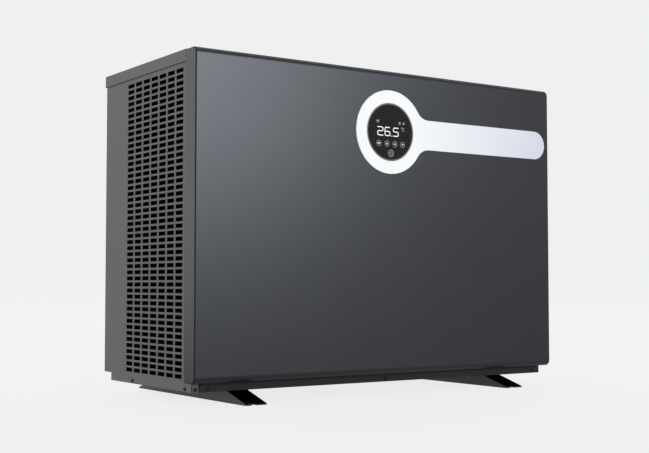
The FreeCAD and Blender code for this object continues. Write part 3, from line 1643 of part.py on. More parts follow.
def make_electrics():
    """The box behind the front cover with its lid, inverter board and terminal block."""
    wall = 1.2
    outside = box(
        "ebox_outside",
        ("box_width", "box_depth", "box_height"),
        ("box_left", "box_front", "box_bottom"),
    )
    inside = box(
        "ebox_inside",
        (f"box_width - {2 * wall}", "box_depth", f"box_height - {2 * wall}"),
        (f"box_left + {wall}", f"box_front - {wall}", f"box_bottom + {wall}"),
    )
    subpart(cut("ebox_all", outside, inside), "electrical_box")
    lid = box(
        "ebox_lid", ("box_width", "1.2", "box_height"), (
            "box_left", "box_front - 1.2 - play", "box_bottom"
        )
    )
    subpart(lid, "electrical_box_lid")
    back = "box_front + box_depth - 14"
    board = [box("board_sheet", ("236", "2", "200"), ("box_left + 14", back, "box_bottom + 18"))]
    for number in range(3):
        place = (f"box_left + 44 + 34 * {number}", f"{back} - 45", "box_bottom + 60")
        board.append(cylinder(f"capacitor{number}", "15", "46", place, "y"))
    board.append(
        box("power_module", ("90", "12", "50"), ("box_left + 140", f"{back} - 11", "box_bottom + 130"))
    )
    board.append(
        box("relay", ("28", "22", "16"), ("box_left + 190", f"{back} - 21", "box_bottom + 50"))
    )
    board.append(
        box("choke", ("44", "34", "40"), ("box_left + 30", f"{back} - 33", "box_bottom + 140"))
    )
    subpart(fuse("inverter_all", *board), "inverter_board")
    block = box(
        "terminal_strip",
        ("60", "30", "120"),
        ("box_left + 264", "box_front + box_depth - 36", "box_bottom + 50"),
    )
    wells = [
        box(
            f"terminal_well{number}",
            ("52", "18", "16"),
            ("box_left + 268", "box_front + box_depth - 37", f"box_bottom + 56 + 22 * {number}"),
        )
        for number in range(5)
    ]
    subpart(cut("terminal_all_wells", block, *wells), "terminal_block")


def make_gland():
    """A cable gland in the rear cover: body with a hexagon outside, domed nut, lock nut inside."""
    thread = cylinder("gland_thread", "gland_radius", "22", ("gland_x", "back_y - 12", "gland_z"), "y")
    hexagon = doc.addObject("Part::Prism", "gland_hexagon")
    hexagon.Polygon = 6
    bind(hexagon, Circumradius="gland_radius * 1.45", Height="8")
    put(hexagon, ("gland_x", "back_y + play / 10", "gland_z"), "y")
    dome = vessel("gland_dome", "gland_radius * 1.2", "18", "4", ("gland_x", "back_y + 8", "gland_z"))
    dome.Placement.Rotation = TURNS["y"]
    lock = ring(
        "gland_lock",
        "gland_radius * 1.4",
        "gland_radius - 0.5",
        "5",
        ("gland_x", "back_y - metal - 5.1", "gland_z"),
        "y",
    )
    bore = cylinder("gland_hole", "gland_bore", "60", ("gland_x", "back_y - 20", "gland_z"), "y")
    subpart(cut("gland_all", fuse("gland_solid", thread, hexagon, dome, lock), bore), "cable_gland")


def make_drain():
    """The condensate spigot under the tray."""


    def at(z):
        return ("drain_x", "drain_y", z)

    flange = cylinder("drain_flange", "drain_radius + drain_rim", "2", at("foot_height + metal"))
    collar = cylinder("drain_collar", "drain_radius + drain_rim", "2", at("foot_height - play - 2"))
    spigot = cylinder(
        "drain_spigot", "drain_radius", "drain_length + metal + play + 2", at(
            "foot_height - drain_length - play - 2"
        )
    )
    bore = cylinder(
        "drain_bore", "drain_radius - 2", "drain_length * 3", at("foot_height - drain_length * 2")
    )
    subpart(cut("drain_all", fuse("drain_solid", flange, collar, spigot), bore), "drain_nozzle")


# ---- The whole unit ---------------------------------------------------------------

make_foot("foot_left", -1)
make_foot("foot_right", 1)
make_base_pan()
make_foot_bolts()
make_front_panel()
make_left_panel()
make_right_panel()
make_top_cover()
make_rear_panel()
make_coil_guard()
make_display_surround()
make_display()
make_linings()
make_partition()
make_fan()
make_evaporator()
make_compressor()
make_valves()
make_pipes()
make_exchanger()
make_water_side()
make_electrics()
make_gland()
make_drain()
subpart(group("screw_groups", [rail_screws, left_screws, right_screws, rear_screws]), "cover_screws")

doc.recompute()
for piece in doc.Objects:
    if {"Invalid", "Error"} & set(piece.State):
        raise RuntimeError(f"{piece.Name} failed: {piece.State}")
os.makedirs("parts", exist_ok=True)
for piece in subparts:
    if piece.Shape.isNull() or not piece.Shape.isValid():
        raise RuntimeError(f"{piece.Label} has no valid shape")
for piece in subparts:
    piece.Shape.exportStep(f"parts/{piece.Label}.step")
print(len(subparts), "sub-parts written")
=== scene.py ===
import json
import math

import bmesh
import bpy
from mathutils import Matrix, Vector


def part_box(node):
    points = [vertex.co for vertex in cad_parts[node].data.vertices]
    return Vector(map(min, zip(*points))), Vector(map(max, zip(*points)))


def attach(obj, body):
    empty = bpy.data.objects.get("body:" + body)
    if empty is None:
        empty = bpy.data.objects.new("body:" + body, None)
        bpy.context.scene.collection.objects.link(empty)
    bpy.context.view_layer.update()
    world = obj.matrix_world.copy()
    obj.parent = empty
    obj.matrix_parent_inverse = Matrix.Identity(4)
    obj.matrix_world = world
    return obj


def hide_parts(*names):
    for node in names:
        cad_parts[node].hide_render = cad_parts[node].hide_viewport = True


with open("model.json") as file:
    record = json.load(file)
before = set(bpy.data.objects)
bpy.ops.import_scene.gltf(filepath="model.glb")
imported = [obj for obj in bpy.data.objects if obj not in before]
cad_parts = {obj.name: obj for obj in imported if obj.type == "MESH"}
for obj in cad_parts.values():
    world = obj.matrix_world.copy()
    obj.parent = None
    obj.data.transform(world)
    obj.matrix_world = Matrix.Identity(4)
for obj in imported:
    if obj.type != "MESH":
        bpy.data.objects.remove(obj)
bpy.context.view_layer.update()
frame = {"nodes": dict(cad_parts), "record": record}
nodes = frame["nodes"]


# ---- materials -------------------------------------------------------------


SPECK_COLOUR = (0.75, 0.75, 0.78, 1)
COAT_ROUGHNESS = 0.12
NOISE_ROUGHNESS = 0.55
WORN_FACING = 0.80  # the rounded and the flat normal agree this little on a sharp edge
WHOLE_FACING = 0.995
BEVEL_SAMPLES = 4


def node_of(tree, kind, **settings):
    """A shader node; a setting is a property, or an input when it names one."""
    made = tree.nodes.new("ShaderNode" + kind)
    for name, setting in settings.items():
        label = name.replace("_", " ").title()
        if label in made.inputs:
            made.inputs[label].default_value = setting
        else:
            setattr(made, name, setting)
    return made


def noise(tree, size, detail=3.0, stretch=(1, 1, 1)):
    """Noise whose grain is about size metres across, in the object's own space."""
    scale = [1 / (size * s) for s in stretch]
    mapping = node_of(tree, "Mapping", scale=scale)
    tree.links.new(tree.nodes["Place"].outputs["Object"], mapping.inputs["Vector"])
    grain = node_of(tree, "TexNoise", scale=1.0, detail=detail, roughness=NOISE_ROUGHNESS)
    tree.links.new(mapping.outputs[0], grain.inputs["Vector"])
    return grain.outputs["Fac"]


def spread(tree, source, low, high, start=0.3, end=0.7):
    """A number that runs from low to high as the source runs from start to end."""
    mapped = node_of(tree, "MapRange")
    for name, setting in zip(("From Min", "From Max", "To Min", "To Max"), (start, end, low, high)):
        mapped.inputs[name].default_value = setting
    tree.links.new(source, mapped.inputs["Value"])
    return mapped.outputs["Result"]


def mix(tree, amount, first, second):
    """A colour between the first and the second; each is a colour or a socket."""
    blend = node_of(tree, "Mix", data_type="RGBA")
    sockets = (blend.inputs[0], blend.inputs[6], blend.inputs[7])  # factor, colour A, colour B
    for socket, source in zip(sockets, (amount, first, second)):
        if hasattr(source, "links"):
            tree.links.new(source, socket)
        else:
            socket.default_value = source
    return blend.outputs[2]


def shaded(colour, factor):
    """The colour made lighter or darker by a factor."""
    return tuple(min(1.0, part * factor) for part in colour[:3]) + (1.0,)


def finish(
    name,
    colour,
    rough,
    metallic=0.0,
    coat=0.0,
    patch=0.12,
    patch_size=0.09,
    grain=0.06,
    grain_size=0.0009,
    stretch=(1, 1, 1),
    bump=0.1,
    bump_depth=0.00004,
    rough_play=0.06,
    edge=0.0,
    edge_colour=(0.5, 0.5, 0.52, 1),
    edge_radius=0.0008,
    specular=0.5,
):
    """A surface with slow colour patches, a fine grain, relief and worn edges."""
    material = bpy.data.materials.new(name)
    material.use_nodes = True
    tree = material.node_tree
    shader = tree.nodes["Principled BSDF"]
    shader.inputs["Metallic"].default_value = metallic
    shader.inputs["Coat Weight"].default_value = coat
    shader.inputs["Coat Roughness"].default_value = COAT_ROUGHNESS
    shader.inputs["Specular IOR Level"].default_value = specular
    place = node_of(tree, "TexCoord")
    place.name = "Place"
    slow = noise(tree, patch_size, 4.0)
    fine = noise(tree, grain_size, 2.0, stretch)
    base = mix(
        tree,
        spread(tree, slow, 0.0, 1.0),
        shaded(colour, 1 - patch),
        shaded(colour, 1 + patch),
    )
    speck = mix(tree, spread(tree, fine, 0.0, grain), base, SPECK_COLOUR)
    relief = node_of(tree, "Bump", strength=bump, distance=bump_depth)
    tree.links.new(fine, relief.inputs["Height"])
    if edge:
        softened = node_of(tree, "Bevel", samples=BEVEL_SAMPLES, radius=edge_radius)
        flat = node_of(tree, "NewGeometry")
        facing = node_of(tree, "VectorMath", operation="DOT_PRODUCT")
        tree.links.new(softened.outputs[0], facing.inputs[0])
        tree.links.new(flat.outputs["Normal"], facing.inputs[1])
        worn = spread(tree, facing.outputs["Value"], edge, 0.0, WORN_FACING, WHOLE_FACING)
        speck = mix(tree, worn, speck, edge_colour)
        tree.links.new(softened.outputs[0], relief.inputs["Normal"])
    tree.links.new(speck, shader.inputs["Base Color"])
    gloss = spread(tree, slow, rough - rough_play, rough + rough_play)
    tree.links.new(gloss, shader.inputs["Roughness"])
    tree.links.new(relief.outputs[0], shader.inputs["Normal"])
    return material


PRINT_PATCH = 0.006
PRINT_ROUGHNESS = 0.4


def glow(name, colour, strength):
    """A lit print: its brightness varies a little over the print."""
    material = bpy.data.materials.new(name)
    material.use_nodes = True
    tree = material.node_tree
    shader = tree.nodes["Principled BSDF"]
    shader.inputs["Roughness"].default_value = PRINT_ROUGHNESS
    shader.inputs["Emission Strength"].default_value = strength
    place = node_of(tree, "TexCoord")
    place.name = "Place"
    slow = noise(tree, PRINT_PATCH, 2.0)
    tint = mix(tree, spread(tree, slow, 0.0, 1.0), shaded(colour, 0.88), shaded(colour, 1.0))
    tree.links.new(tint, shader.inputs["Base Color"])
    tree.links.new(tint, shader.inputs["Emission Color"])
    return material


TARNISH_SPREAD = (0.45, 0.72)
TARNISH_MOST = 0.75


def pipe_metal(name, colour, rough, tarnish, tarnish_size=0.03):
    """Drawn metal with darker, browner tarnish patches."""
    material = finish(
        name, colour, rough, metallic=1.0, patch=0.1, grain=0.02, stretch=(1, 1, 6), bump=0.12
    )
    tree = material.node_tree
    shader = tree.nodes["Principled BSDF"]
    base = shader.inputs["Base Color"].links[0].from_socket
    stain = noise(tree, tarnish_size, 6.0)
    amount = spread(tree, stain, 0.0, TARNISH_MOST, *TARNISH_SPREAD)
    tree.links.new(mix(tree, amount, base, tarnish), shader.inputs["Base Color"])
    return material


TRIM_FADE_START = 0.04
TRIM_FADE_END = 0.46
TRIM_BLUE_GREY = (0.58, 0.61, 0.70, 1)


def trim_finish():
    """Glossy trim whose colour fades from white round the display to a blue-grey along the bar."""
    material = finish(
        "white_gloss", (0.84, 0.85, 0.85), 0.16, coat=0.6, patch=0.008, patch_size=0.15,
        grain=0.0, bump=0.03, rough_play=0.03,
    )
    tree = material.node_tree
    shader = tree.nodes["Principled BSDF"]
    base = shader.inputs["Base Color"].links[0].from_socket
    parts = node_of(tree, "SeparateXYZ")
    tree.links.new(tree.nodes["Place"].outputs["Object"], parts.inputs[0])
    along = spread(tree, parts.outputs["X"], 0.0, 1.0, TRIM_FADE_START, TRIM_FADE_END)
    tree.links.new(mix(tree, along, base, TRIM_BLUE_GREY), shader.inputs["Base Color"])
    return material


finishes = {
    "front_cover_finish": finish(
        "brushed_graphite", (0.0036, 0.0038, 0.0044), 0.40, patch=0.03,
        patch_size=0.5, grain=0.004, grain_size=0.0006, stretch=(1, 1, 60), bump=0.05,
        rough_play=0.015, edge=0.15, edge_colour=(0.07, 0.07, 0.076, 1), edge_radius=0.001,
        specular=0.12,
    ),
    "cover_finish": finish(
        "graphite_powder_coat", (0.046, 0.047, 0.049), 0.5, patch=0.04,
        patch_size=0.25, grain=0.03, grain_size=0.0008, bump=0.16, rough_play=0.04,
        edge=0.3, edge_colour=(0.13, 0.13, 0.137, 1),
    ),
    "tray_finish": finish(
        "tray_powder_coat", (0.008, 0.0082, 0.0086), 0.52, patch=0.08,
        patch_size=0.12, grain=0.006, grain_size=0.0008, bump=0.18, rough_play=0.05,
        edge=0.12, edge_colour=(0.06, 0.06, 0.062, 1), specular=0.17,
    ),
    "foot_finish": finish(
        "foot_powder_coat", (0.028, 0.029, 0.03), 0.5, patch=0.12,
        patch_size=0.06, grain=0.02, grain_size=0.0009, bump=0.2, rough_play=0.06,
        edge=0.3, edge_colour=(0.12, 0.12, 0.125, 1), specular=0.35,
    ),
    "guard_plastic": finish(
        "guard_coating", (0.03, 0.031, 0.033), 0.42, patch=0.1, grain=0.05, bump=0.2,
        coat=0.2, edge=0.5, edge_colour=(0.12, 0.12, 0.125, 1),
    ),
    "white_trim": trim_finish(),
    "bezel_plastic": finish(
        "bezel_gloss", (0.10, 0.103, 0.11), 0.3, coat=0.3, patch=0.1, grain=0.01, bump=0.05,
        edge=0.5, edge_colour=(0.12, 0.12, 0.125, 1), edge_radius=0.0006,
    ),
    "display_glass": finish(
        "smoked_glass", (0.0028, 0.0029, 0.0034), 0.10, patch=0.1, grain=0.0,
        bump=0.015, rough_play=0.03, patch_size=0.03, specular=0.24,
    ),
    "housing_plastic": finish(
        "moulded_black", (0.022, 0.022, 0.024), 0.5, patch=0.1, grain=0.05, bump=0.3,
        edge=0.3, edge_colour=(0.08, 0.08, 0.085, 1),
    ),
    "foam": finish(
        "open_cell_foam", (0.0012, 0.0012, 0.0012), 0.95, patch=0.3, patch_size=0.02, grain=0.002,
        grain_size=0.0022, bump=0.9, bump_depth=0.0012, specular=0.0,
    ),
    "zinc_steel": finish(
        "zinc_plate", (0.42, 0.43, 0.44), 0.36, metallic=1.0, patch=0.16, patch_size=0.014,
        grain=0.05, grain_size=0.002, bump=0.12, rough_play=0.12, edge=0.4,
    ),
    "black_screws": finish(
        "black_oxide", (0.003, 0.003, 0.0033), 0.5, patch=0.2, patch_size=0.004,
        grain=0.004, grain_size=0.0004, bump=0.2, edge=0.15, edge_colour=(0.03, 0.03, 0.03, 1),
        edge_radius=0.0004, specular=0.15,
    ),
    "motor_casting": finish(
        "cast_aluminium", (0.32, 0.33, 0.34), 0.48, metallic=0.9, patch=0.12, patch_size=0.02,
        grain=0.1, grain_size=0.0012, bump=0.4, bump_depth=0.00012, edge=0.4,
    ),
    "coil_fins": finish(
        "blue_fin_stock", (0.14, 0.26, 0.44), 0.36, metallic=0.7, patch=0.12, patch_size=0.05,
        grain=0.03, stretch=(1, 1, 8), bump=0.2,
    ),
    "copper": pipe_metal("copper_tube", (0.60, 0.27, 0.15), 0.28, (0.16, 0.07, 0.04, 1)),
    "valve_brass": pipe_metal("turned_brass", (0.58, 0.42, 0.16), 0.3, (0.22, 0.15, 0.06, 1), 0.015),
    "black_vessel": finish(
        "black_enamel", (0.016, 0.016, 0.017), 0.3, coat=0.5, patch=0.2, patch_size=0.05,
        grain=0.02, grain_size=0.003, bump=0.25, bump_depth=0.0002, edge=0.4,
        edge_colour=(0.08, 0.08, 0.08, 1),
    ),
    "rubber": finish(
        "moulded_rubber", (0.014, 0.014, 0.014), 0.72, patch=0.25, patch_size=0.012, grain=0.06,
        bump=0.4, bump_depth=0.0001, edge=0.3, edge_colour=(0.05, 0.05, 0.05, 1),
    ),
    "exchanger_plastic": finish(
        "pressure_shell", (0.045, 0.046, 0.049), 0.44, patch=0.12, patch_size=0.08, grain=0.03,
        bump=0.3, bump_depth=0.00015, edge=0.3, edge_colour=(0.12, 0.12, 0.125, 1),
    ),
    "titanium": pipe_metal("drawn_titanium", (0.40, 0.38, 0.36), 0.32, (0.22, 0.2, 0.2, 1)),
    "union_plastic": finish(
        "grey_pipe_plastic", (0.115, 0.12, 0.13), 0.32, coat=0.2, patch=0.08, patch_size=0.03,
        grain=0.02, bump=0.15, edge=0.4, edge_colour=(0.28, 0.29, 0.3, 1),
    ),
    "circuit_board": finish(
        "solder_mask", (0.012, 0.085, 0.03), 0.3, coat=0.5, patch=0.25, patch_size=0.012,
        grain=0.2, grain_size=0.0016, bump=0.3, bump_depth=0.0001, edge=0.4,
        edge_colour=(0.35, 0.3, 0.16, 1), edge_radius=0.0004,
    ),
}
for row in frame["record"]["subparts"]:
    mesh = nodes[row["node"]].data
    mesh.materials.clear()
    mesh.materials.append(finishes[row["material_slot"]])


UPWARD = 0.5
BARELY_UPWARD = 0.02
TOWARDS_MIDDLE = 0.001
TOWARDS_VIEWER = -0.1


def coat_faces(node, material, chosen):
    """A second finish on the chosen faces of a node."""
    mesh = nodes[node].data
    mesh.materials.append(material)
    for face in mesh.polygons:
        if chosen(face):
            face.material_index = 1


def shade_foot_channel(node, shade_coat):
    """Painted shade inside a foot: a black coat on what looks up or towards the middle of its channel,
    where the channel lies in shade.
    """
    low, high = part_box(node)
    middle = (low.x + high.x) / 2

    def inside(face):
        inward = face.normal.x * (middle - face.center.x)
        return face.normal.z > BARELY_UPWARD or inward > TOWARDS_MIDDLE

    coat_faces(node, shade_coat, inside)


def looks_out(face):
    """True for a face that looks at the front cover or at the left grille."""
    return face.normal.x < TOWARDS_VIEWER or face.normal.y < TOWARDS_VIEWER


def dull_top(node, name, colour):
    """A matt coat on the faces of a cover that look up, so that they never glare; on the front cover
    its lighter colour is a painted highlight.
    """
    matt = finish(name, colour, 0.8, patch=0.1, grain=0.003, bump=0.1, specular=0.05)
    coat_faces(node, matt, lambda face: face.normal.z > UPWARD)


# Painted shade: a near-black coat for faces that stand in shade.
painted_shade_black = finish(
    "painted_shade_black", (0.002, 0.002, 0.002), 0.8, patch=0.2, grain=0.002, bump=0.15, specular=0.08
)
shade_foot_channel("foot_left", painted_shade_black)
shade_foot_channel("foot_right", painted_shade_black)
# Painted shade: the shroud faces that look out through the grille are black, so the slots read dark.
coat_faces("fan_shroud", painted_shade_black, looks_out)
# Painted highlight: the front cover's upward bend is matt and lighter than the cover, as if lit from
# above.
dull_top("front_panel", "matt_bend_painted_highlight", (0.022, 0.0225, 0.024))
dull_top("top_cover", "matt_lid", (0.046, 0.047, 0.049))


# ---- display graphics ------------------------------------------------------
# Places and widths on the glass are in millimetres, across and up from its centre.

MM = 0.001
PRINT_THICKNESS = 0.00012
glass_low, glass_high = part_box("display_glass")
glass_centre = Vector(
    ((glass_low.x + glass_high.x) / 2, glass_low.y, (glass_low.z + glass_high.z) / 2)
)
lit_white = glow("lit_white", (0.55, 0.56, 0.58), 0.8)
lit_dim = glow("lit_dim", (0.28, 0.29, 0.31), 0.45)


def rounded(points, radius, closed=False, steps=6):
    """The line through the points with its corners rounded to that radius."""
    line = []
    count = len(points)
    for index, point in enumerate(points):
        corner = Vector(point)
        if not closed and index in (0, count - 1):
            line.append(corner)
            continue
        before = (Vector(points[index - 1]) - corner).normalized()
        after = (Vector(points[(index + 1) % count]) - corner).normalized()
        for step in range(steps + 1):
            part = step / steps
            start = corner + before * radius
            end = corner + after * radius
            line.append(start.lerp(corner, part).lerp(corner.lerp(end, part), part))
    return line


def circle(centre, radius, start=0.0, sweep=360.0, steps=36):
    """Points of an arc; the angle runs anticlockwise from the right, in degrees."""
    x, y = centre
    angles = [math.radians(start + sweep * step / steps) for step in range(steps + 1)]
    return [Vector((x + radius * math.cos(a), y + radius * math.sin(a))) for a in angles]


def ring(centre, radius, width):
    """A stroke all round a circle."""
    return circle(centre, radius)[:-1], width, True


def dot(centre, radius, steps):
    """A filled round patch."""
    return circle(centre, radius, steps=steps)[:-1]


def lay_stroke(work, line, width, closed=False):
    """Adds one flat stroke to the mesh, with round ends unless it is closed."""
    line = [Vector(p) for p in line]
    count = len(line)
    half = width / 2
    left, right = [], []
    for index, point in enumerate(line):
        before = line[index - 1] if closed or index else line[index]
        after = line[(index + 1) % count] if closed or index < count - 1 else line[index]
        along = (after - before).normalized()
        across = Vector((-along.y, along.x)) * half
        left.append(point + across)
        right.append(point - across)
    if closed:
        turns = [(i, (i + 1) % count) for i in range(count)]
        outlines = [(left[i], left[j], right[j], right[i]) for i, j in turns]
    else:
        ends = []
        for index, inner in ((count - 1, count - 2), (0, 1)):
            away = (line[index] - line[inner]).normalized()
            turn = math.degrees(math.atan2(away.y, away.x))
            ends.append(circle(line[index], half, start=turn - 90, sweep=180, steps=8))
        outlines = [(left[i], left[i + 1], right[i + 1], right[i]) for i in range(count - 1)]
        outlines += ends
    lay_patches(work, outlines)


def lay_patches(work, outlines):
    """Flat patches with a thickness, standing on the glass."""
    for outline in outlines:
        back = [work.verts.new((p[0] * MM, 0, p[1] * MM)) for p in outline]
        front = [work.verts.new((p[0] * MM, -PRINT_THICKNESS, p[1] * MM)) for p in outline]
        count = len(outline)
        work.faces.new(back)
        work.faces.new(list(reversed(front)))
        for i in range(count):
            j = (i + 1) % count
            work.faces.new((back[i], front[i], front[j], back[j]))


def piece_from(work, name, material, body="cabinet"):
    """The object made from a bmesh, riding on a body."""
    bmesh.ops.recalc_face_normals(work, faces=work.faces)
    mesh = bpy.data.meshes.new(name)
    work.to_mesh(mesh)
    work.free()
    mesh.materials.append(material)
    made = bpy.data.objects.new(name, mesh)
    bpy.context.scene.collection.objects.link(made)
    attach(made, body)
    return made


def print_on_glass(name, strokes, material, patches=()):
    """A printed sign on the display glass; each stroke is a line, its width and whether it closes."""
    work = bmesh.new()
    for line, width, closed in strokes:
        lay_stroke(work, line, width, closed)
    lay_patches(work, patches)
    bmesh.ops.translate(work, verts=work.verts, vec=glass_centre)
    return piece_from(work, name, material)


DIGITS = ((2, -36.2), (6, -15.2), (5, 9.0))
DIGIT_WIDTHS = {2: 15.2, 5: 14.2, 6: 14.2}
DIGIT_HEIGHT = 18.9
DIGIT_STROKE = 2.2
DIGIT_FOOT = -8.7
DIGIT_TOP = DIGIT_FOOT + DIGIT_HEIGHT
DIGIT_WAIST = 0.52
DIGIT_MIDDLE = DIGIT_FOOT + DIGIT_HEIGHT * DIGIT_WAIST
DIGIT_ROUND = 4.2
DIGIT_SHORT = 1
POINT_CENTRE = (4.0, -8.9)
POINT_RADIUS = 1.3


def digit_line(kind, left):
    """The centre line of a digit, from where its left side is."""
    right = left + DIGIT_WIDTHS[kind]
    top, middle, foot = DIGIT_TOP, DIGIT_MIDDLE, DIGIT_FOOT
    start, end = right - DIGIT_SHORT, left + DIGIT_SHORT
    lines = {
        2: [(left, top), (right, top), (right, middle), (left, middle), (left, foot), (right, foot)],
        5: [(right, top), (left, top), (left, middle), (right, middle), (right, foot), (left, foot)],
        6: [(start, top), (left, top), (left, foot), (right, foot), (right, middle), (end, middle)],
    }
    return rounded(lines[kind], DIGIT_ROUND)


def draw_temperature():
    """The digits 26.5."""
    strokes = [(digit_line(kind, left), DIGIT_STROKE, False) for kind, left in DIGITS]
    print_on_glass("display_digits", strokes, lit_white, [dot(POINT_CENTRE, POINT_RADIUS, 16)])


KEY_RADIUS = 6.3
KEY_LEVEL = -27.2
KEY_XS = (-32.8, -9.5, 13.4, 35.9)
RING_STROKE = 0.8
POWER_CENTRE = (2.0, -49.0)
POWER_RING = 8.0
POWER_SIGN = 4.2
POWER_BAR = (-47.8, -44.2)
POWER_STROKE = 1.1


def draw_key_rings():
    """The rings of the four keys, and the power key with its sign."""
    strokes = [ring((x, KEY_LEVEL), KEY_RADIUS, RING_STROKE) for x in KEY_XS]
    strokes.append(ring(POWER_CENTRE, POWER_RING, RING_STROKE))
    sign = circle(POWER_CENTRE, POWER_SIGN, start=125, sweep=290)
    strokes.append((sign, POWER_STROKE, False))
    strokes.append(([(POWER_CENTRE[0], y) for y in POWER_BAR], POWER_STROKE, False))
    print_on_glass("display_key_rings", strokes, lit_dim)


MODE_REACH = 2.3
MODE_DOT = 1.7
MODE_BAR = 2.4
MODE_STROKE = 1.2
ARROW_HALF = 2.8
ARROW_BASE = 1.6
ARROW_TIP = 2.4
DOME_RADIUS = 2.6
DOME_DROP = 1.0


def draw_key_signs():
    """The signs in the keys: mode, up, quiet and down."""
    mode_x, up_x, quiet_x, down_x = KEY_XS
    base, tip = KEY_LEVEL - ARROW_BASE, KEY_LEVEL + ARROW_TIP
    arrow_up = [(up_x - ARROW_HALF, base), (up_x + ARROW_HALF, base), (up_x, tip)]
    base, tip = KEY_LEVEL + ARROW_BASE, KEY_LEVEL - ARROW_TIP
    arrow_down = [(down_x - ARROW_HALF, base), (down_x, tip), (down_x + ARROW_HALF, base)]
    dome = circle((quiet_x, KEY_LEVEL - DOME_DROP), DOME_RADIUS, sweep=180, steps=12)
    dots = [dot((mode_x + side * MODE_REACH, KEY_LEVEL), MODE_DOT, 14) for side in (-1, 1)]
    bar = [(mode_x - MODE_BAR, KEY_LEVEL), (mode_x + MODE_BAR, KEY_LEVEL)]
    print_on_glass(
        "display_key_signs", [(bar, MODE_STROKE, False)], lit_white, [*dots, arrow_up, arrow_down, dome]
    )


SIGNAL_CENTRE = (-35.6, 19.6)
SIGNAL_DOT = 1.0
SIGNAL_RADII = (2.2, 4.0, 5.8)
SIGNAL_STROKE = 1.1
PUMP_CENTRE = (27.6, 22.4)
PUMP_RADIUS = 3.0
PUMP_STROKE = 0.9
PUMP_HUB = 1.1
DEGREE_CENTRE = (32.8, 11.8)
DEGREE_RADIUS = 1.3
THIN_STROKE = 0.7
CELSIUS_CENTRE = (38.2, 8.2)
CELSIUS_RADIUS = 3.2
CELSIUS_STROKE = 1.0
BAR_FOOT = 19.6
BAR_WIDTH = 1.4
BARS = ((35.4, 2.0), (37.6, 3.9), (39.8, 6.0))


def draw_signs():
    """The small signs above the digits: signal, pump, load bars and degrees Celsius."""
    waves = [circle(SIGNAL_CENTRE, r, start=48, sweep=84, steps=12) for r in SIGNAL_RADII]
    strokes = [(wave, SIGNAL_STROKE, False) for wave in waves]
    casing = circle(PUMP_CENTRE, PUMP_RADIUS, start=20, sweep=320, steps=20)
    strokes.append((casing, PUMP_STROKE, False))
    strokes.append(ring(PUMP_CENTRE, PUMP_HUB, THIN_STROKE))
    strokes.append(ring(DEGREE_CENTRE, DEGREE_RADIUS, THIN_STROKE))
    letter = circle(CELSIUS_CENTRE, CELSIUS_RADIUS, start=45, sweep=270, steps=20)
    strokes.append((letter, CELSIUS_STROKE, False))
    patches = [dot(SIGNAL_CENTRE, SIGNAL_DOT, 12)]
    for left, rise in BARS:
        right, top = left + BAR_WIDTH, BAR_FOOT + rise
        patches.append([(left, BAR_FOOT), (right, BAR_FOOT), (right, top), (left, top)])
    print_on_glass("display_signs", strokes, lit_dim, patches)


draw_temperature()
draw_key_rings()
draw_key_signs()
draw_signs()


# ---- evaporator fins -------------------------------------------------------

FIN_PITCH = 0.002
FIN_GAUGE = 0.00018
FIN_WAVES = 6
FIN_RIPPLE = 0.0013


def make_fins():
    """Thin rippled fin plates, side by side, in the space of the CAD fin block."""
    low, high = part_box("evaporator_fins")
    work = bmesh.new()
    count = int((high.x - low.x - FIN_RIPPLE * 2) / FIN_PITCH)
    depth = (high.y - low.y) / FIN_WAVES
    for fin in range(count):
        x = low.x + FIN_RIPPLE + FIN_GAUGE + fin * FIN_PITCH
        sides = []
        for offset in (0, FIN_GAUGE):
            rows = []
            for z in (low.z, high.z):
                rows.append(
                    [
                        work.verts.new((x + offset + (step % 2) * FIN_RIPPLE, low.y + step * depth, z))
                        for step in range(FIN_WAVES + 1)
                    ]
                )
            sides.append(rows)
        for step in range(FIN_WAVES):
            for rows in sides:
                work.faces.new((rows[0][step], rows[0][step + 1], rows[1][step + 1], rows[1][step]))
            for level in (0, 1):
                near, far = sides[0][level], sides[1][level]
                work.faces.new((near[step], near[step + 1], far[step + 1], far[step]))
        for end in (0, FIN_WAVES):
            near, far = sides
            work.faces.new((near[0][end], near[1][end], far[1][end], far[0][end]))
    fins = piece_from(work, "fin_stack", finishes["coil_fins"])
    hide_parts("evaporator_fins")
    return fins


# ---- acoustic foam ---------------------------------------------------------

CONE_PITCH = 0.012
CONE_DEPTH = 0.005
CLEFT_REACH = 0.082  # how far the opening goes left, up and down from the display's centre
CLEFT_LEFT = glass_centre.x - CLEFT_REACH
CLEFT_BOTTOM = glass_centre.z - CLEFT_REACH
CLEFT_TOP = glass_centre.z + CLEFT_REACH
SPLITTER_COUNT = 5
SPLITTER_THICKNESS = 0.022
RIB_PITCH = 0.008
RIB_DEPTH = 0.0012
CORNER_CUT = 0.004


def lines_between(stops):
    """Evenly spaced lines from stop to stop, about one cone apart, with every stop on a line."""
    lines = [stops[0]]
    for start, end in zip(stops, stops[1:]):
        steps = max(1, round((end - start) / CONE_PITCH))
        lines += [start + (end - start) * step / steps for step in range(1, steps + 1)]
    return lines


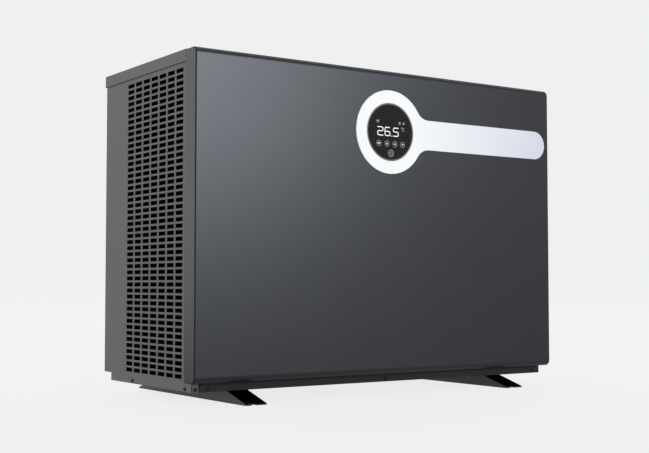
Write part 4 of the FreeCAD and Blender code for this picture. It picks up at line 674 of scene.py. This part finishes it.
def make_front_lining():
    """A sheet of cone foam behind the front cover, with the opening for the display's housing."""
    low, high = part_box("front_panel_foam")
    xs = lines_between((low.x, CLEFT_LEFT, high.x))
    zs = lines_between((low.z, CLEFT_BOTTOM, CLEFT_TOP, high.z))

    work = bmesh.new()
    corners = {}

    def kept(i, j):
        """True for a cell of the sheet that has foam in it."""
        if not (0 <= i < len(xs) - 1 and 0 <= j < len(zs) - 1):
            return False
        x = (xs[i] + xs[i + 1]) / 2
        z = (zs[j] + zs[j + 1]) / 2
        return x < CLEFT_LEFT or not CLEFT_BOTTOM < z < CLEFT_TOP

    def corner(i, j, rear):
        """The vertex of a grid point, flat on the front and in cones on the rear."""
        if (i, j, rear) not in corners:
            valley = CONE_DEPTH if (i + j) % 2 else 0
            y = high.y - valley if rear else low.y
            corners[i, j, rear] = work.verts.new((xs[i], y, zs[j]))
        return corners[i, j, rear]

    for i in range(len(xs) - 1):
        for j in range(len(zs) - 1):
            if not kept(i, j):
                continue
            cell = ((i, j), (i + 1, j), (i + 1, j + 1), (i, j + 1))
            beyond = ((i, j - 1), (i + 1, j), (i, j + 1), (i - 1, j))
            for rear in (False, True):
                work.faces.new([corner(*spot, rear) for spot in cell])
            for side, neighbour in enumerate(beyond):
                if not kept(*neighbour):
                    first, second = cell[side], cell[(side + 1) % 4]
                    front = [corner(*spot, False) for spot in (first, second)]
                    back = [corner(*spot, True) for spot in (second, first)]
                    work.faces.new(front + back)
    lining = piece_from(work, "front_foam_lining", finishes["foam"])
    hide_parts("front_panel_foam")


def bar_outline(x0, x1, y0, y1):
    """A rectangle seen from above, with its corners cut."""
    cut = CORNER_CUT
    return (
        (x0 + cut, y0),
        (x1 - cut, y0),
        (x1, y0 + cut),
        (x1, y1 - cut),
        (x1 - cut, y1),
        (x0 + cut, y1),
        (x0, y1 - cut),
        (x0, y0 + cut),
    )


def make_splitters():
    """Ribbed foam bars that stand behind the left grille."""
    low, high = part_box("acoustic_splitters")
    step = (high.y - low.y - SPLITTER_THICKNESS) / (SPLITTER_COUNT - 1)
    levels = round((high.z - low.z) / RIB_PITCH)
    work = bmesh.new()
    for bar in range(SPLITTER_COUNT):
        front = low.y + bar * step
        rings = []
        for level in range(levels + 1):
            z = low.z + (high.z - low.z) * level / levels
            inset = RIB_DEPTH * (level % 2)
            rear = front + SPLITTER_THICKNESS
            outline = bar_outline(low.x + inset, high.x - inset, front + inset, rear - inset)
            rings.append([work.verts.new((x, y, z)) for x, y in outline])
        sides = len(rings[0])
        for lower, upper in zip(rings, rings[1:]):
            for i in range(sides):
                j = (i + 1) % sides
                work.faces.new((lower[i], lower[j], upper[j], upper[i]))
        work.faces.new(rings[0])
        work.faces.new(rings[-1])
    bars = piece_from(work, "splitter_foam", finishes["foam"])
    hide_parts("acoustic_splitters")


fin_stack = make_fins()
make_front_lining()
make_splitters()


# ---- floor, light and camera -----------------------------------------------

CAMERA_PLACE = (-1.62476, -2.34309, 0.25271)
CAMERA_YAW = math.radians(34.408)
CAMERA_PITCH = math.radians(2.835)
LENS = 64.38
SENSOR = 36.0


PAPER_COLOUR = (0.08, 0.08, 0.08)
PAPER_ROUGHNESS = 0.95
PAPER_GLOW = 10.1
FLOOR_PROFILE = ((6.0, 0.0), (7.0, 0.12), (8.0, 0.6), (8.8, 1.6), (9.2, 3.2), (9.2, 8.0))
FLOOR_STEPS = 96
AIR_COLOUR = (0.5, 0.505, 0.52, 1)
AIR_STRENGTH = 0.5


def studio_paper():
    """Plain grey paper with an even glow of its own, so that it shows no lamp and no hard shadow."""
    material = bpy.data.materials.new("studio_paper")
    material.use_nodes = True
    shader = material.node_tree.nodes["Principled BSDF"]
    shader.inputs["Base Color"].default_value = (*PAPER_COLOUR, 1)
    shader.inputs["Roughness"].default_value = PAPER_ROUGHNESS
    shader.inputs["Emission Color"].default_value = (*PAPER_COLOUR, 1)
    shader.inputs["Emission Strength"].default_value = PAPER_GLOW
    return material


def make_floor():
    """A pale floor that curves up behind into a wall, all round."""
    work = bmesh.new()
    turns = [2 * math.pi * step / FLOOR_STEPS for step in range(FLOOR_STEPS)]
    loops = []
    for radius, z in FLOOR_PROFILE:
        spots = [(radius * math.cos(turn), radius * math.sin(turn), z) for turn in turns]
        loops.append([work.verts.new(spot) for spot in spots])
    centre = work.verts.new((0, 0, 0))
    for i in range(FLOOR_STEPS):
        j = (i + 1) % FLOOR_STEPS
        work.faces.new((centre, loops[0][i], loops[0][j]))
        for near, far in zip(loops, loops[1:]):
            work.faces.new((near[i], far[i], far[j], near[j]))
    mesh = bpy.data.meshes.new("studio_floor")
    work.to_mesh(mesh)
    work.free()
    for face in mesh.polygons:
        face.use_smooth = True
    mesh.materials.append(studio_paper())
    floor = bpy.data.objects.new("studio_floor", mesh)
    bpy.context.scene.collection.objects.link(floor)
    return floor


def leave_out(light, things):
    """Keep one light off the given objects."""
    skipped = bpy.data.collections.new(light.name + "_skips")
    for thing in things:
        skipped.objects.link(thing)
    for entry in skipped.collection_objects:
        entry.light_linking.link_state = "EXCLUDE"
    light.light_linking.receiver_collection = skipped


def add_light(name, place, target, size, power, colour=(1, 1, 1)):
    """A soft rectangular lamp at a place, aimed at a target; sizes in metres, power in watts."""
    light = bpy.data.lights.new(name, "AREA")
    light.shape = "RECTANGLE"
    light.size, light.size_y = size
    light.energy = power
    light.color = colour
    holder = bpy.data.objects.new(name, light)
    holder.location = place
    holder.rotation_euler = (Vector(target) - Vector(place)).to_track_quat("-Z", "Y").to_euler()
    bpy.context.scene.collection.objects.link(holder)
    return holder


floor = make_floor()
key = add_light(
    "key_light",
    place=(0.9, -3.7, 2.0),
    target=(-0.45, -0.24, 0.7),
    size=(1.5, 1.3),
    power=60,
    colour=(0.95, 0.975, 1.0),
)
side = add_light(
    "side_light",
    place=(-3.4, 1.2, 2.3),
    target=(-0.5, 0, 0.5),
    size=(1.8, 1.6),
    power=66,
)
back = add_light(
    "back_light",
    place=(1.2, 3.6, 2.4),
    target=(0, 0.2, 0.4),
    size=(2.2, 1.6),
    power=40,
)
top = add_light(
    "top_light",
    place=(-0.4, 0.6, 4.0),
    target=(0, 0, 0.7),
    size=(2.0, 1.6),
    power=8,
)
for light in (key, back, top):
    leave_out(light, [floor])
inner_parts = [nodes[name] for name in ("evaporator_tubes", "evaporator_end_plates", "fan_shroud")]
leave_out(side, [floor, fin_stack] + inner_parts)

# Three soft lights reach the satin front cover alone: its sheen, its left return and its top edge.
sheen = add_light(
    "sheen_light",
    place=(0.9, -3.7, 1.48),
    target=(-0.45, -0.24, 0.55),
    size=(1.5, 1.3),
    power=415,
    colour=(0.84, 0.90, 1.0),
)
fill = add_light(
    "return_light",
    place=(-2.5, 2.9, 1.0),
    target=(-0.5, -0.24, 0.4),
    size=(1.4, 2.2),
    power=45,
    colour=(0.90, 0.95, 1.0),
)
rim = add_light(
    "edge_light",
    place=(0.9, 1.9, 2.3),
    target=(-0.1, -0.24, 0.74),
    size=(1.8, 1.6),
    power=28,
    colour=(0.95, 0.97, 1.0),
)
front_only = bpy.data.collections.new("front_cover_only")
front_only.objects.link(nodes["front_panel"])
for light in (sheen, fill, rim):
    light.light_linking.receiver_collection = front_only

world = bpy.data.worlds.new("studio_air")
world.use_nodes = True
background = world.node_tree.nodes["Background"]
background.inputs["Color"].default_value = AIR_COLOUR
background.inputs["Strength"].default_value = AIR_STRENGTH
bpy.context.scene.world = world
bpy.context.scene.view_settings.view_transform = "Standard"

lens = bpy.data.cameras.new("photo_camera")
lens.lens = LENS
lens.sensor_width = SENSOR
camera = bpy.data.objects.new("photo_camera", lens)
camera.location = CAMERA_PLACE
camera.rotation_euler = (math.pi / 2 + CAMERA_PITCH, 0, -CAMERA_YAW)
bpy.context.scene.collection.objects.link(camera)
bpy.context.scene.camera = camera
